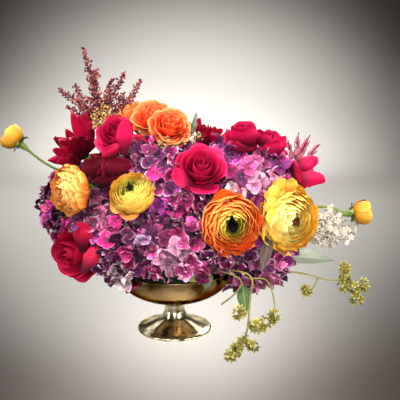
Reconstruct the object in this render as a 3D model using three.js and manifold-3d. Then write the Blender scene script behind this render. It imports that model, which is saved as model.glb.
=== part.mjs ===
// A floral table centerpiece: a footed metal compote bowl with a block of wet floral foam, and in
// the foam the cut stems of roses, spray roses, lilies, ranunculus, hydrangea heads, an astilbe
// plume, small filler sprays, foliage and two trailing vines.
// Millimetres, +Z up. The origin is at the middle of the foot's underside, and -Y is the front.
import * as THREE from "three";
import { mergeVertices } from "three/addons/utils/BufferGeometryUtils.js";
import Module from "manifold-3d";

const wasm = await Module();
wasm.setup();
const { Manifold, Mesh: SolidMesh } = wasm;

// Driving dimensions of the holder
const FOOT_RADIUS = 45.6;
const PEDESTAL_HEIGHT = 37.5;
const RIM_RADIUS = 74;
const RIM_HEIGHT = 81;
const BOWL_DEPTH = 44;
const BOWL_WALL = 1.6;
const SEAT_RADIUS = 13.6;
const FOAM_RADIUS = 42;
const FOAM_TOP = 108;
const FOAM_FLOOR = 42.8;

// Driving dimensions of the flowers
const FIT_GAP = 0.35;
const HOLE_GAP = 0.5;
const MERGE_TOLERANCE = 0.02;
const PETAL_THICKNESS = 0.8;
const LEAF_THICKNESS = 0.8;
const HEART_SIDES = 4;
const CUP_RADIUS = 4.4;
const CUP_LENGTH = 13;
const STALK_START = 4.5;
const STEM_SIDES = 4;
const STEM_RADIUS = {
  rose: 2.4,
  ranunculus: 1.9,
  lily: 2.2,
  spray: 2.3,
  hydrangea: 3.2,
  filler: 1.3,
  leaf: 1.8,
  vine: 1.1,
};
const SPIKE_SIDES = 3;
const FLORET_RADIUS = 17;
// How far out, how large and how far aside a floret is tried until it clears its neighbours
const FLORET_TRIES = [
  [1, 1, 0],
  [0.96, 0.92, 0.35],
  [0.9, 0.84, 0.5],
  [0.86, 0.76, 0.5],
  [0.82, 0.68, 0.6],
  [0.78, 0.6, 0.6],
];
const STALK_RADIUS = 2.2;
const CORE_SHARE = 0.5;
const HEAD_OVERLAP = 9;
const ROOT_DEPTH = 7;

// Places for stems in the foam
const FOAM_MIDDLE = new THREE.Vector3(0, 0, 84);
const SEAT_COUNT = 60;
const SEAT_OUTSIDE = 58;
const SEAT_INSIDE = 25;
const SEAT_INSIDE_TOP = 18;
const SEAT_KNEE = 41;
const SEAT_HIGHEST = 0.97;
const SEAT_LOWEST = -0.2;
const GOLDEN_TURN = 2.399963;
const BENDS = [17, 8, 1];

const COLOURS = {
  brass: 0xa8925c,
  foam: 0x2f4a2a,
  stem: 0x7f9448,
  crimson: 0xb3123f,
  magenta: 0xc8185a,
  burgundy: 0x6d1230,
  orange: 0xf0703c,
  apricot: 0xf0a24c,
  yellow: 0xe8c23a,
  gold: 0xf4ba30,
  flame: 0xe86424,
  amber: 0xd9952c,
  mauve: 0x8c2f76,
  plume: 0x7c3c40,
  tan: 0xb98c4e,
  pale: 0xb9aa9c,
  rosewood: 0xb45a6c,
  vine: 0x9c9440,
  leaf: 0x54683f,
  paleLeaf: 0xa9b892,
};

const at = (x, y, z) => new THREE.Vector3(x, y, z);
const radians = THREE.MathUtils.degToRad;

// One seeded draw, so that every build is the same
function seeded(seed) {
  let state = seed;
  return () => {
    state = (state * 1664525 + 1013904223) % 4294967296;
    return state / 4294967296;
  };
}

// Solids

const union = (solids) => Manifold.union(solids);
const placed = (solid, matrix) => solid.transform(matrix.toArray());
const largestBody = (solid) => solid.decompose().sort((a, b) => b.volume() - a.volume())[0];

function solidFrom(points, triangles) {
  let volume = 0;
  for (const [a, b, c] of triangles) volume += points[a].dot(points[b].clone().cross(points[c]));
  const faces = volume < 0 ? triangles.map(([a, b, c]) => [a, c, b]) : triangles;
  return new Manifold(
    new SolidMesh({
      numProp: 3,
      vertProperties: new Float32Array(points.flatMap((p) => [p.x, p.y, p.z])),
      triVerts: new Uint32Array(faces.flat()),
    }),
  );
}

function solidOf(geometry, matrix = new THREE.Matrix4()) {
  const bare = geometry.index ? geometry.toNonIndexed() : geometry.clone();
  bare.deleteAttribute("normal");
  bare.deleteAttribute("uv");
  bare.applyMatrix4(matrix);
  const merged = mergeVertices(bare, 1e-3);
  const place = merged.getAttribute("position");
  const points = Array.from({ length: place.count }, (_, i) =>
    new THREE.Vector3().fromBufferAttribute(place, i),
  );
  const triangles = [];
  for (let i = 0; i < merged.index.count; i += 3) {
    const corner = [0, 1, 2].map((k) => merged.index.getX(i + k));
    if (new Set(corner).size === 3) triangles.push(corner);
  }
  return solidFrom(points, triangles);
}

function lathe(profile, sides) {
  const outline = profile.map(([r, z]) => new THREE.Vector2(r, z));
  return solidOf(
    new THREE.LatheGeometry(outline, sides),
    new THREE.Matrix4().makeRotationX(Math.PI / 2),
  );
}

// A thin closed blade on a surface given by surface(u, v), u from -1 to 1 across and v from 0 to 1
// along it. It starts from a narrow root, ends in a broad edge or in a tip, and both of its faces
// are split along the same diagonals.
function blade(surface, across, along, thickness, tipped = false) {
  const step = 1e-3;
  const points = [];
  const rows = [];
  for (let j = 0; j <= along; j++) {
    const v = j / along;
    const narrow = j === 0 || (tipped && j === along);
    const row = [];
    const shares = Array.from({ length: across + 1 }, (_, i) => (2 * i) / across - 1);
    for (const u of narrow ? [0] : shares) {
      const du = surface(Math.min(1, u + step), v + (v ? 0 : step));
      du.sub(surface(Math.max(-1, u - step), v + (v ? 0 : step)));
      const dv = surface(u, Math.min(1, v + step)).sub(surface(u, Math.max(0, v - step)));
      const normal = du.cross(dv).normalize();
      const middle = surface(u, v);
      row.push([points.length, points.length + 1]);
      points.push(middle.clone().addScaledVector(normal, thickness / 2));
      points.push(middle.clone().addScaledVector(normal, -thickness / 2));
    }
    rows.push(row);
  }
  const triangles = [];
  const quad = ([a, b], [c, d]) => triangles.push([a, c, b], [b, c, d]);
  for (let j = 0; j < along; j++) {
    const [low, high] = [rows[j], rows[j + 1]];
    const cells = Math.max(low.length, high.length) - 1;
    for (let i = 0; i < cells; i++) {
      for (const [side, flip] of [[0, false], [1, true]]) {
        const face = (p, q, r) => {
          const corners = flip ? [p, r, q] : [p, q, r];
          triangles.push(corners.map((corner) => corner[side]));
        };
        if (low.length === 1) face(low[0], high[i + 1], high[i]);
        else if (high.length === 1) face(low[i], low[i + 1], high[0]);
        else {
          face(low[i], low[i + 1], high[i + 1]);
          face(low[i], high[i + 1], high[i]);
        }
      }
    }
    quad(low[0], high[0]);
    quad(high[high.length - 1], low[low.length - 1]);
  }
  const last = rows[along];
  for (let i = 0; i + 1 < last.length; i++) quad(last[i], last[i + 1]);
  return solidFrom(points, triangles);
}

function tube(curve, radius, sides, steps) {
  const outline = new THREE.Shape(
    Array.from({ length: sides }, (_, i) => {
      const angle = (2 * Math.PI * i) / sides;
      return new THREE.Vector2(radius * Math.cos(angle), radius * Math.sin(angle));
    }),
  );
  return solidOf(
    new THREE.ExtrudeGeometry(outline, { steps, bevelEnabled: false, extrudePath: curve }),
  );
}

function taper(from, to, radiusFrom, radiusTo, sides) {
  const way = to.clone().sub(from);
  const turn = new THREE.Quaternion().setFromUnitVectors(at(0, 1, 0), way.clone().normalize());
  return solidOf(
    new THREE.CylinderGeometry(radiusTo, radiusFrom, way.length(), sides),
    new THREE.Matrix4().compose(from.clone().lerp(to, 0.5), turn, at(1, 1, 1)),
  );
}

function bead(middle, radius) {
  return solidOf(
    new THREE.OctahedronGeometry(radius),
    new THREE.Matrix4().makeTranslation(middle.x, middle.y, middle.z),
  );
}

// A ring of rim points closed by a point in front and one behind
function lobed(rim, front, behind) {
  const points = [...rim, front, behind];
  const triangles = [];
  rim.forEach((_, i) => {
    const next = (i + 1) % rim.length;
    triangles.push([i, next, rim.length], [next, i, rim.length + 1]);
  });
  return solidFrom(points, triangles);
}

// Directions and frames

// Azimuth 0 faces the front and grows to the right; elevation is above the horizon, in degrees.
function heading(azimuth, elevation) {
  const a = radians(azimuth);
  const e = radians(elevation);
  return at(Math.sin(a) * Math.cos(e), -Math.cos(a) * Math.cos(e), Math.sin(e));
}

// A frame at a point whose Z looks along a direction and whose Y is as upright as it can be
function frameAt(point, direction, roll = 0) {
  const z = direction.clone().normalize();
  const x = at(0, 0, 1).cross(z);
  if (x.length() < 1e-3) x.set(1, 0, 0);
  x.normalize();
  const y = z.clone().cross(x);
  return new THREE.Matrix4()
    .makeBasis(x, y, z)
    .multiply(new THREE.Matrix4().makeRotationZ(radians(roll)))
    .setPosition(point);
}

// Petals and blooms, each built round its own +Z with its foot just above z = 0

// A cupped petal: it leaves the core at foot, swells to radius and height, and may flare and droop
function cupPetal(ring, azimuth) {
  const { foot, radius, height, span } = ring;
  const { curl = 90, flare = 0, droop = 0, spiral = 1.7, crown = 2 } = ring;
  const most = radians(curl);
  return (u, v) => {
    const turn = v * most;
    const widen = 0.5 + 0.5 * Math.sin((v * Math.PI) / 2);
    const angle = radians(azimuth + u * span * widen);
    const r = foot[0] + (radius - foot[0]) * Math.sin(turn) + spiral * u * v + flare * v ** 3;
    const rise = (1 - Math.cos(turn)) / (1 - Math.cos(most));
    const z = foot[1] + (height - foot[1]) * rise - droop * v ** 4 - crown * u * u * v;
    return at(r * Math.cos(angle), r * Math.sin(angle), z);
  };
}

function petalRing(ring) {
  const { count, start, across, along } = ring;
  return Array.from({ length: count }, (_, k) =>
    blade(cupPetal(ring, start + (360 * k) / count), across, along, PETAL_THICKNESS),
  );
}

// The solid heart of a bloom, in which the roots of its petals are sunk
function heart(top, sides) {
  return lathe(
    [
      [0, FIT_GAP],
      [4.6, FIT_GAP],
      [7.2, 4],
      [0, top],
    ],
    sides,
  );
}

function rose({ across, depth, detail = 3 }) {
  const r = across / 2;
  const inner = {
    count: 3,
    start: 20,
    foot: [2.6, 3],
    radius: 0.17 * r,
    height: 0.95 * depth,
    span: 60,
    across: 2,
    along: 1,
    spiral: 2,
  };
  const middle = {
    count: 3,
    start: 75,
    foot: [3.8, 2],
    radius: 0.56 * r,
    height: depth,
    span: 66,
    flare: 0.06 * r,
    across: detail,
    along: 2,
  };
  const outer = {
    count: 4,
    start: 10,
    foot: [3.6, 1.6],
    radius: 0.86 * r,
    height: 0.86 * depth,
    span: 48,
    flare: 0.16 * r,
    droop: 0.1 * depth,
    crown: 4,
    across: detail,
    along: 2,
  };
  return union([heart(9, HEART_SIDES), ...[inner, middle, outer].flatMap(petalRing)]);
}

function sprayRose({ across, depth }) {
  const r = across / 2;
  const inner = {
    count: 3,
    start: 40,
    foot: [2.6, 3],
    radius: 0.4 * r,
    height: depth,
    span: 60,
    across: 2,
    along: 1,
    spiral: 1.6,
  };
  const outer = {
    count: 4,
    start: 0,
    foot: [3.4, 1.6],
    radius: 0.84 * r,
    height: 0.84 * depth,
    span: 50,
    flare: 0.18 * r,
    droop: 0.12 * depth,
    crown: 3,
    across: 2,
    along: 2,
    spiral: 1.5,
  };
  return union([heart(9, HEART_SIDES), ...[inner, outer].flatMap(petalRing)]);
}

function ranunculus({ across, depth }) {
  const r = across / 2;
  const inner = {
    count: 3,
    start: 15,
    foot: [2.4, 3.4],
    radius: 0.34 * r,
    height: 0.9 * depth,
    span: 60,
    along: 1,
  };
  const middle = {
    count: 4,
    start: 50,
    foot: [2.8, 2.6],
    radius: 0.7 * r,
    height: 0.94 * depth,
    span: 46,
    curl: 108,
    along: 2,
  };
  const outer = {
    count: 5,
    start: 14,
    foot: [3.2, 1.8],
    radius: r,
    height: 0.84 * depth,
    span: 36,
    curl: 98,
    along: 2,
  };
  const petals = [inner, middle, outer].flatMap((ring) =>
    petalRing({ across: 2, crown: 1.5, ...ring }),
  );
  return union([heart(9, HEART_SIDES), ...petals]);
}

function ranunculusBud({ across, depth }) {
  const r = across / 2;
  const core = lathe(
    [
      [0, FIT_GAP],
      [4.2, FIT_GAP],
      [0.58 * r, 0.3 * depth],
      [0.6 * r, 0.62 * depth],
      [0, 0.9 * depth],
    ],
    5,
  );
  const ring = {
    count: 4,
    start: 0,
    foot: [3, 2.4],
    radius: 0.94 * r,
    height: 0.9 * depth,
    span: 50,
    curl: 106,
    across: 2,
    along: 2,
    spiral: 1.4,
    crown: 2,
  };
  return union([core, ...petalRing(ring)]);
}

// Six pointed tepals that rise and bend back in two rings of three
function lily({ across, depth }) {
  const length = 0.56 * across;
  const tepals = Array.from({ length: 6 }, (_, k) => {
    const outer = k % 2;
    const side = radians(60 * k);
    const breadth = outer ? 5.5 : 6.5;
    const surface = (u, v) => {
      const width = (0.8 + breadth * Math.sin(Math.PI * v ** 1.5)) * u;
      const keel = 1.2 * u * u * Math.sin(Math.PI * v);
      const r = 2.2 + (outer ? 9 : 2.2) * v + length * (outer ? 0.62 : 0.7) * v * v - keel;
      const z = 2 + depth * (outer ? 0.9 : 1.0) * Math.sin(1.25 * v);
      return at(
        r * Math.cos(side) - width * Math.sin(side),
        r * Math.sin(side) + width * Math.cos(side),
        z,
      );
    };
    return blade(surface, 2, 3, PETAL_THICKNESS, true);
  });
  return union([heart(12, 5), ...tepals]);
}

// The green cup under a bloom: a star of pointed sepals that narrows down into the stem
function calyx({ sepals, reach, drop }) {
  const rim = Array.from({ length: 2 * sepals }, (_, i) => {
    const angle = (Math.PI * i) / sepals;
    const r = i % 2 ? CUP_RADIUS : reach;
    return at(r * Math.cos(angle), r * Math.sin(angle), i % 2 ? 0 : -drop);
  });
  return lobed(rim, at(0, 0, 0), at(0, 0, -CUP_LENGTH));
}

// Nodes and clearance

const nodes = new Map();
const foamHoles = [];
const bloomRooms = [];
const headBodies = new Map();

function add(group, name, solid, colour, { roughness = 0.65, metalness = 0, double = false } = {}) {
  nodes.set(name, { group, solid, colour, roughness, metalness, double, box: solid.boundingBox() });
}

function boxesNear(a, b, margin) {
  return [0, 1, 2].every((k) => a.min[k] - margin < b.max[k] && b.min[k] - margin < a.max[k]);
}

function isClear(solid, except = []) {
  const box = solid.boundingBox();
  for (const [name, { solid: other, box: otherBox }] of nodes) {
    if (except.includes(name) || !boxesNear(box, otherBox, FIT_GAP)) continue;
    if (solid.minGap(other, 2 * FIT_GAP) < FIT_GAP) return false;
  }
  for (const [name, body] of headBodies) {
    if (!except.includes(name) && solid.minGap(body, 2 * FIT_GAP) < FIT_GAP) return false;
  }
  return true;
}

// Directions from the middle of the foam, spread evenly over its upper side
const SEATS = Array.from({ length: SEAT_COUNT }, (_, i) => {
  const z = SEAT_HIGHEST + ((SEAT_LOWEST - SEAT_HIGHEST) * (i + 0.5)) / SEAT_COUNT;
  const flat = Math.sqrt(1 - z * z);
  return at(flat * Math.cos(i * GOLDEN_TURN), flat * Math.sin(i * GOLDEN_TURN), z);
});

// Routes of a stem to the seats in the foam, the straightest first
function stemRoutes(start, direction, via = []) {
  const last = via.length ? via[via.length - 1] : start;
  const wanted = last.clone().sub(FOAM_MIDDLE).normalize();
  const order = [...SEATS].sort((p, q) => q.dot(wanted) - p.dot(wanted));
  return order.flatMap((seat) => {
    const outside = FOAM_MIDDLE.clone().addScaledVector(seat, SEAT_OUTSIDE);
    const inside = FOAM_MIDDLE.clone().addScaledVector(
      seat,
      THREE.MathUtils.lerp(SEAT_INSIDE, SEAT_INSIDE_TOP, seat.z ** 2),
    );
    if (via.length) return [new THREE.CatmullRomCurve3([start, ...via, outside, inside])];
    return BENDS.map((bend) => {
      const reach = Math.min(2 * bend, 0.45 * start.distanceTo(outside));
      const handle = start.clone().addScaledVector(direction, -reach);
      const knee = FOAM_MIDDLE.clone().addScaledVector(seat, SEAT_KNEE + bend);
      return new THREE.CubicBezierCurve3(start, handle, knee, inside);
    });
  });
}

// A stem on the first route that clears everything, and the hole that it needs in the foam. It may
// start anywhere in the reach of its start, for a bloom with a broad core.
function buildStem(start, direction, radius, { via = [], steps = 2, reach = 0 } = {}) {
  const offsets = [at(0, 0, 0), ...(reach ? SEATS.map((seat) => seat.clone().multiplyScalar(reach)) : [])];
  for (const offset of offsets) {
    for (const route of stemRoutes(start.clone().add(offset), direction, via)) {
      const hole = tube(route, radius + HOLE_GAP, STEM_SIDES, steps);
      if (!isClear(hole) || foamHoles.some((other) => hole.minGap(other, 1) < FIT_GAP)) continue;
      foamHoles.push(hole);
      return tube(route, radius, STEM_SIDES, steps);
    }
  }
  throw new Error(`no clear route for a stem from ${start.toArray()}`);
}

// Holder

function buildHolder(group) {
  const innerDepth = BOWL_DEPTH - BOWL_WALL;
  const innerRadius = RIM_RADIUS - BOWL_WALL;
  const seatTurn = Math.asin((SEAT_RADIUS + 0.6) / RIM_RADIUS);
  const arc = (from, to, count, radius, depth) =>
    Array.from({ length: count }, (_, i) => {
      const t = from + ((to - from) * i) / (count - 1);
      return [radius * Math.sin(t), RIM_HEIGHT - depth * Math.cos(t)];
    });
  const outside = arc(seatTurn, Math.PI / 2, 6, RIM_RADIUS, BOWL_DEPTH);
  const inside = arc(Math.PI / 2, 0, 5, innerRadius, innerDepth);
  inside[inside.length - 1][0] = 0;
  const lip = [
    [RIM_RADIUS + 1.1, RIM_HEIGHT + 0.5],
    [RIM_RADIUS - 0.2, RIM_HEIGHT + 1.5],
  ];
  const brass = { roughness: 0.22, metalness: 1 };
  const seat = [0, outside[0][1]];
  add(group, "bowl", lathe([seat, ...outside, ...lip, ...inside], 22), COLOURS.brass, brass);

  const pedestal = [
    [0, 0],
    [FOOT_RADIUS, 0],
    [FOOT_RADIUS, 2.2],
    [44.2, 3.5],
    [36.8, 4.4],
    [22.5, 11.4],
    [14.6, 20],
    [12.4, 27],
    [12.4, 32.4],
    [SEAT_RADIUS + 1, 34],
    [SEAT_RADIUS + 1, 36.2],
    [SEAT_RADIUS, PEDESTAL_HEIGHT],
    [0, PEDESTAL_HEIGHT],
  ];
  add(group, "pedestal", lathe(pedestal, 22), COLOURS.brass, brass);
}

// The foam block, or with a margin the room that it takes
function foamBlock(margin = 0) {
  return lathe(
    [
      [0, FOAM_FLOOR - margin],
      [29, FOAM_FLOOR - margin],
      [FOAM_RADIUS + margin, 56],
      [FOAM_RADIUS + margin, 92 + margin],
      [32, 102 + margin],
      [0, FOAM_TOP + margin],
    ],
    14,
  );
}

function buildFoam(group) {
  const block = foamBlock();
  const solid = largestBody(block.subtract(union(foamHoles)));
  add(group, "foam", solid, COLOURS.foam, { roughness: 0.95 });
}

// Blooms

// Each bloom: the middle of its open face, where it looks (azimuth, elevation), its width and depth
const BLOOMS = [
  {
    name: "rose_front",
    kind: "rose",
    colour: "magenta",
    face: [34, -98, 229],
    looks: [6, 38],
    across: 64,
    depth: 40,
    roll: 10,
  },
  {
    name: "rose_upper_left",
    kind: "rose",
    colour: "magenta",
    face: [-65, -84, 262],
    looks: [-14, 32],
    across: 48,
    depth: 38,
    roll: 40,
    detail: 2,
  },
  {
    name: "rose_dark",
    kind: "rose",
    colour: "burgundy",
    face: [-92, -70, 217],
    looks: [-56, 6],
    across: 46,
    depth: 36,
    roll: 80,
    detail: 2,
  },
  {
    name: "rose_lower_left",
    kind: "rose",
    colour: "crimson",
    face: [-125, -58, 107],
    looks: [-36, -4],
    across: 76,
    depth: 46,
    roll: 5,
  },
  {
    name: "rose_top",
    kind: "rose",
    colour: "magenta",
    face: [82, -52, 262],
    looks: [10, 62],
    across: 46,
    depth: 38,
    roll: 20,
    detail: 2,
  },
  {
    name: "rose_top_right",
    kind: "rose",
    colour: "magenta",
    face: [120, -25, 245],
    looks: [46, 46],
    across: 46,
    depth: 36,
    roll: 60,
    detail: 2,
  },
  {
    name: "rose_right",
    kind: "rose",
    colour: "magenta",
    face: [163, -26, 204],
    looks: [72, 22],
    across: 50,
    depth: 42,
    roll: 30,
    detail: 2,
  },
  {
    name: "rose_back_left",
    kind: "rose",
    colour: "crimson",
    face: [-58, 92, 222],
    looks: [-150, 36],
    across: 62,
    depth: 40,
    roll: 15,
    detail: 2,
  },
  {
    name: "rose_back_right",
    kind: "rose",
    colour: "magenta",
    face: [104, 72, 204],
    looks: [130, 24],
    across: 62,
    depth: 42,
    roll: 50,
    detail: 2,
  },
  {
    name: "lily_left",
    kind: "lily",
    colour: "crimson",
    face: [-128, -30, 244],
    looks: [-50, 38],
    across: 72,
    depth: 44,
    roll: 12,
  },
  {
    name: "lily_top",
    kind: "lily",
    colour: "crimson",
    face: [38, -30, 262],
    looks: [-6, 74],
    across: 26,
    depth: 32,
    roll: 30,
  },
  {
    name: "ranunculus_apricot",
    kind: "ranunculus",
    colour: "apricot",
    face: [-126, -78, 191],
    looks: [-44, 6],
    across: 57,
    depth: 36,
    roll: 0,
  },
  {
    name: "ranunculus_yellow",
    kind: "ranunculus",
    colour: "yellow",
    face: [-44, -110, 204],
    looks: [-12, 42],
    across: 50,
    depth: 36,
    roll: 20,
  },
  {
    name: "ranunculus_orange",
    kind: "ranunculus",
    colour: "flame",
    face: [68, -116, 159],
    looks: [8, 4],
    across: 68,
    depth: 38,
    roll: 10,
  },
  {
    name: "ranunculus_gold",
    kind: "ranunculus",
    colour: "gold",
    face: [140, -80, 156],
    looks: [30, 4],
    across: 80,
    depth: 42,
    roll: 35,
  },
  {
    name: "ranunculus_back",
    kind: "ranunculus",
    colour: "flame",
    face: [-10, 112, 160],
    looks: [184, 8],
    across: 60,
    depth: 38,
    roll: 0,
  },
  {
    name: "bud_left",
    kind: "bud",
    colour: "amber",
    face: [-207, 37, 240],
    looks: [-96, 38],
    across: 33,
    depth: 24,
    roll: 0,
    via: [[-158, 35, 201], [-112, 28, 176]],
  },
  {
    name: "bud_right",
    kind: "bud",
    colour: "amber",
    face: [236, -6, 150],
    looks: [93, 4],
    across: 31,
    depth: 24,
    roll: 0,
    via: [[176, -6, 156], [120, -4, 146]],
  },
];

const KINDS = {
  rose: { build: rose, stem: STEM_RADIUS.rose, calyx: { sepals: 5, reach: 13, drop: 9 } },
  lily: { build: lily, stem: STEM_RADIUS.lily, calyx: { sepals: 3, reach: 5, drop: 2 } },
  ranunculus: { build: ranunculus, stem: STEM_RADIUS.ranunculus, calyx: { sepals: 5, reach: 11, drop: 5 } },
  bud: { build: ranunculusBud, stem: STEM_RADIUS.ranunculus, calyx: { sepals: 5, reach: 12, drop: 2 } },
};

// The space that a bloom and its calyx take, kept free in the cores of the hydrangea heads
function bloomRoom({ across, depth }, frame) {
  const sides = 6;
  const r = (across / 2 + 1.5) / Math.cos(Math.PI / sides);
  const profile = [
    [0, -CUP_LENGTH - 2],
    [17, -10],
    [r, 0.45 * depth],
    [r, depth + 3],
    [0, depth + 3],
  ];
  return placed(lathe(profile, sides), frame);
}

function buildBloom(blooms, stems, bloom) {
  const kind = KINDS[bloom.kind];
  const direction = heading(...bloom.looks);
  const base = at(...bloom.face).addScaledVector(direction, -bloom.depth);
  const frame = frameAt(base, direction, bloom.roll);
  const petals = placed(largestBody(kind.build(bloom)).simplify(MERGE_TOLERANCE), frame);
  add(blooms, bloom.name, petals, COLOURS[bloom.colour], { double: true });
  bloomRooms.push(bloomRoom(bloom, frame));
  const start = base.clone().addScaledVector(direction, -STALK_START);
  const via = (bloom.via ?? []).map((p) => at(...p));
  const steps = via.length ? 7 : 2;
  const stalk = buildStem(start, direction, kind.stem, { via, steps });
  const stem = union([placed(calyx(kind.calyx), frame), stalk]).simplify(MERGE_TOLERANCE);
  add(stems, `${bloom.name}_stem`, stem, COLOURS.stem);
}

// Three small roses and a leaf on one branched stem
const SPRAY = {
  joint: [-24, -16, 236],
  branch: [1.6, 2.1],
  leaf: { root: [-7, -34, 244], tip: [20, -20, 271], width: 5.5, side: [0.9, -0.2, -0.4] },
  blooms: [
    {
      name: "spray_rose_left",
      colour: "apricot",
      face: [-58, 8, 273],
      looks: [-40, 56],
      across: 34,
      depth: 26,
      roll: 0,
    },
    {
      name: "spray_rose_middle",
      colour: "orange",
      face: [-25, -18, 276],
      looks: [-6, 54],
      across: 44,
      depth: 28,
      roll: 25,
    },
    {
      name: "spray_rose_right",
      colour: "orange",
      face: [1, -60, 269],
      looks: [14, 44],
      across: 42,
      depth: 28,
      roll: 55,
    },
  ],
};

function buildSpray(blooms, stems) {
  const joint = at(...SPRAY.joint);
  const parts = [leaf(SPRAY.leaf)];
  const starts = [];
  for (const bloom of SPRAY.blooms) {
    const direction = heading(...bloom.looks);
    const base = at(...bloom.face).addScaledVector(direction, -bloom.depth);
    const frame = frameAt(base, direction, bloom.roll);
    const petals = placed(largestBody(sprayRose(bloom)).simplify(MERGE_TOLERANCE), frame);
    add(blooms, bloom.name, petals, COLOURS[bloom.colour], { double: true });
    bloomRooms.push(bloomRoom(bloom, frame));
    const start = base.clone().addScaledVector(direction, -STALK_START);
    parts.push(placed(calyx({ sepals: 4, reach: 9, drop: 5 }), frame));
    parts.push(taper(start, joint, ...SPRAY.branch, STEM_SIDES));
    starts.push(start);
  }
  parts.push(buildStem(joint.clone().add(at(0, 0, 2)), at(-0.1, -0.1, 1), STEM_RADIUS.spray));
  const [thin, thick] = SPRAY.branch.map((radius) => radius + HOLE_GAP);
  foamHoles.push(...starts.map((start) => taper(start, joint, thin, thick, STEM_SIDES)));
  add(stems, "spray_rose_stem", union(parts).simplify(MERGE_TOLERANCE), COLOURS.stem);
}

// Filler sprays, vines and leaves

// A pointed leaf from its root to its tip, bent up or down along the way and folded a little
function leaf({ root, tip, width, side, arch = 3, fold = 1.5 }) {
  const [from, to] = [at(...root), at(...tip)];
  const along = to.clone().sub(from);
  const across = at(...side).addScaledVector(along, -at(...side).dot(along) / along.lengthSq());
  across.normalize();
  const up = across.clone().cross(along).normalize();
  const surface = (u, v) => {
    const half = (0.7 + width * Math.sin(Math.PI * v ** 0.85)) * u;
    return from
      .clone()
      .addScaledVector(along, v)
      .addScaledVector(across, half)
      .addScaledVector(up, arch * Math.sin(Math.PI * v) + fold * u * u);
  };
  return blade(surface, 2, 3, LEAF_THICKNESS, true);
}

// A slim spike from a root to a tip; its profile gives radii at shares of its length
function spike(root, tip, profile, sides) {
  const [from, to] = [at(...root), at(...tip)];
  const length = from.distanceTo(to);
  const outline = profile.map(([radius, share]) => [radius, share * length]);
  return placed(lathe([[0, 0], ...outline, [0, length]], sides), frameAt(from, to.sub(from)));
}

const SPIKES = {
  plume: [
    [1.2, 0],
    [1.4, 0.2],
    [4.8, 0.3],
    [2.4, 0.42],
    [4.6, 0.52],
    [2.2, 0.64],
    [4, 0.74],
    [1.6, 0.84],
    [2.4, 0.92],
  ],
  cluster: [
    [1.2, 0],
    [1.2, 0.3],
    [4.6, 0.5],
    [2.4, 0.66],
    [4.2, 0.84],
  ],
  tip: [
    [1.1, 0],
    [1.1, 0.35],
    [3.6, 0.6],
  ],
  bud: [
    [0.9, 0],
    [0.9, 0.35],
    [4.4, 0.7],
  ],
  airy: [
    [1.1, 0],
    [1.1, 0.3],
    [4, 0.45],
    [1.2, 0.6],
    [4.4, 0.82],
  ],
};

const FILLERS = [
  {
    name: "astilbe_plume",
    colour: "plume",
    joint: [-87, 8, 246],
    shape: "plume",
    spikes: [
      [[-87, 8, 244], [-104, 4, 344]],
      [[-89, 8, 262], [-132, 0, 295]],
      [[-87, 8, 246], [-128, 18, 274]],
      [[-90, 7, 264], [-57, 18, 315]],
      [[-87, 8, 250], [-38, 28, 305]],
    ],
  },
  {
    name: "tan_cluster",
    colour: "tan",
    joint: [-82, -22, 243],
    shape: "cluster",
    spikes: [
      [[-82, -22, 241], [-92, -21, 267]],
      [[-82, -22, 241], [-80, -20, 281]],
      [[-82, -22, 241], [-68, -15, 268]],
    ],
  },
  {
    name: "rosewood_tips",
    colour: "rosewood",
    joint: [146, 22, 198],
    shape: "tip",
    spikes: [
      [[146, 22, 195], [137, 15, 232]],
      [[146, 22, 195], [150, 18, 241]],
      [[146, 22, 195], [164, 20, 238]],
      [[146, 22, 195], [177, 22, 226]],
      [[146, 22, 195], [170, 27, 206]],
    ],
  },
  {
    name: "pale_spray",
    colour: "pale",
    joint: [160, -4, 126],
    shape: "airy",
    spikes: [
      [[158, -4, 126], [190, -8, 150]],
      [[158, -4, 126], [208, -8, 140]],
      [[158, -4, 126], [219, -8, 124]],
      [[158, -4, 126], [198, -4, 108]],
    ],
  },
];

function buildFiller(group, { name, colour, joint, shape, spikes }) {
  const stalk = buildStem(at(...joint), at(0, 0, 1), STEM_RADIUS.filler);
  const parts = spikes.map(([root, tip]) => spike(root, tip, SPIKES[shape], SPIKE_SIDES));
  add(group, name, largestBody(union([stalk, ...parts])).simplify(MERGE_TOLERANCE), COLOURS[colour]);
}

const VINES = [
  {
    name: "vine_front",
    tip: [75, -111, 9],
    via: [[83, -111, 39], [86, -110, 76], [84, -106, 104]],
    branches: [[[84, -107, 100], [106, -92, 92], [115, -90, 64], [112, -90, 42]]],
    buds: [
      [95, -115, 48],
      [73, -114, 34],
      [92, -114, 24],
      [66, -113, 13],
      [76, -112, 62],
      [102, -90, 33],
      [124, -92, 52],
    ],
  },
  {
    name: "vine_right",
    tip: [202, -40, 78],
    via: [[184, -44, 77], [150, -46, 86], [112, -46, 90]],
    branches: [
      [[198, -40, 78], [214, -42, 68], [219, -42, 56]],
      [[170, -43, 80], [165, -43, 68], [158, -42, 61]],
    ],
    buds: [
      [198, -42, 92],
      [200, -42, 66],
      [227, -43, 74],
      [208, -44, 48],
      [229, -43, 56],
      [148, -42, 66],
    ],
  },
];

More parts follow.
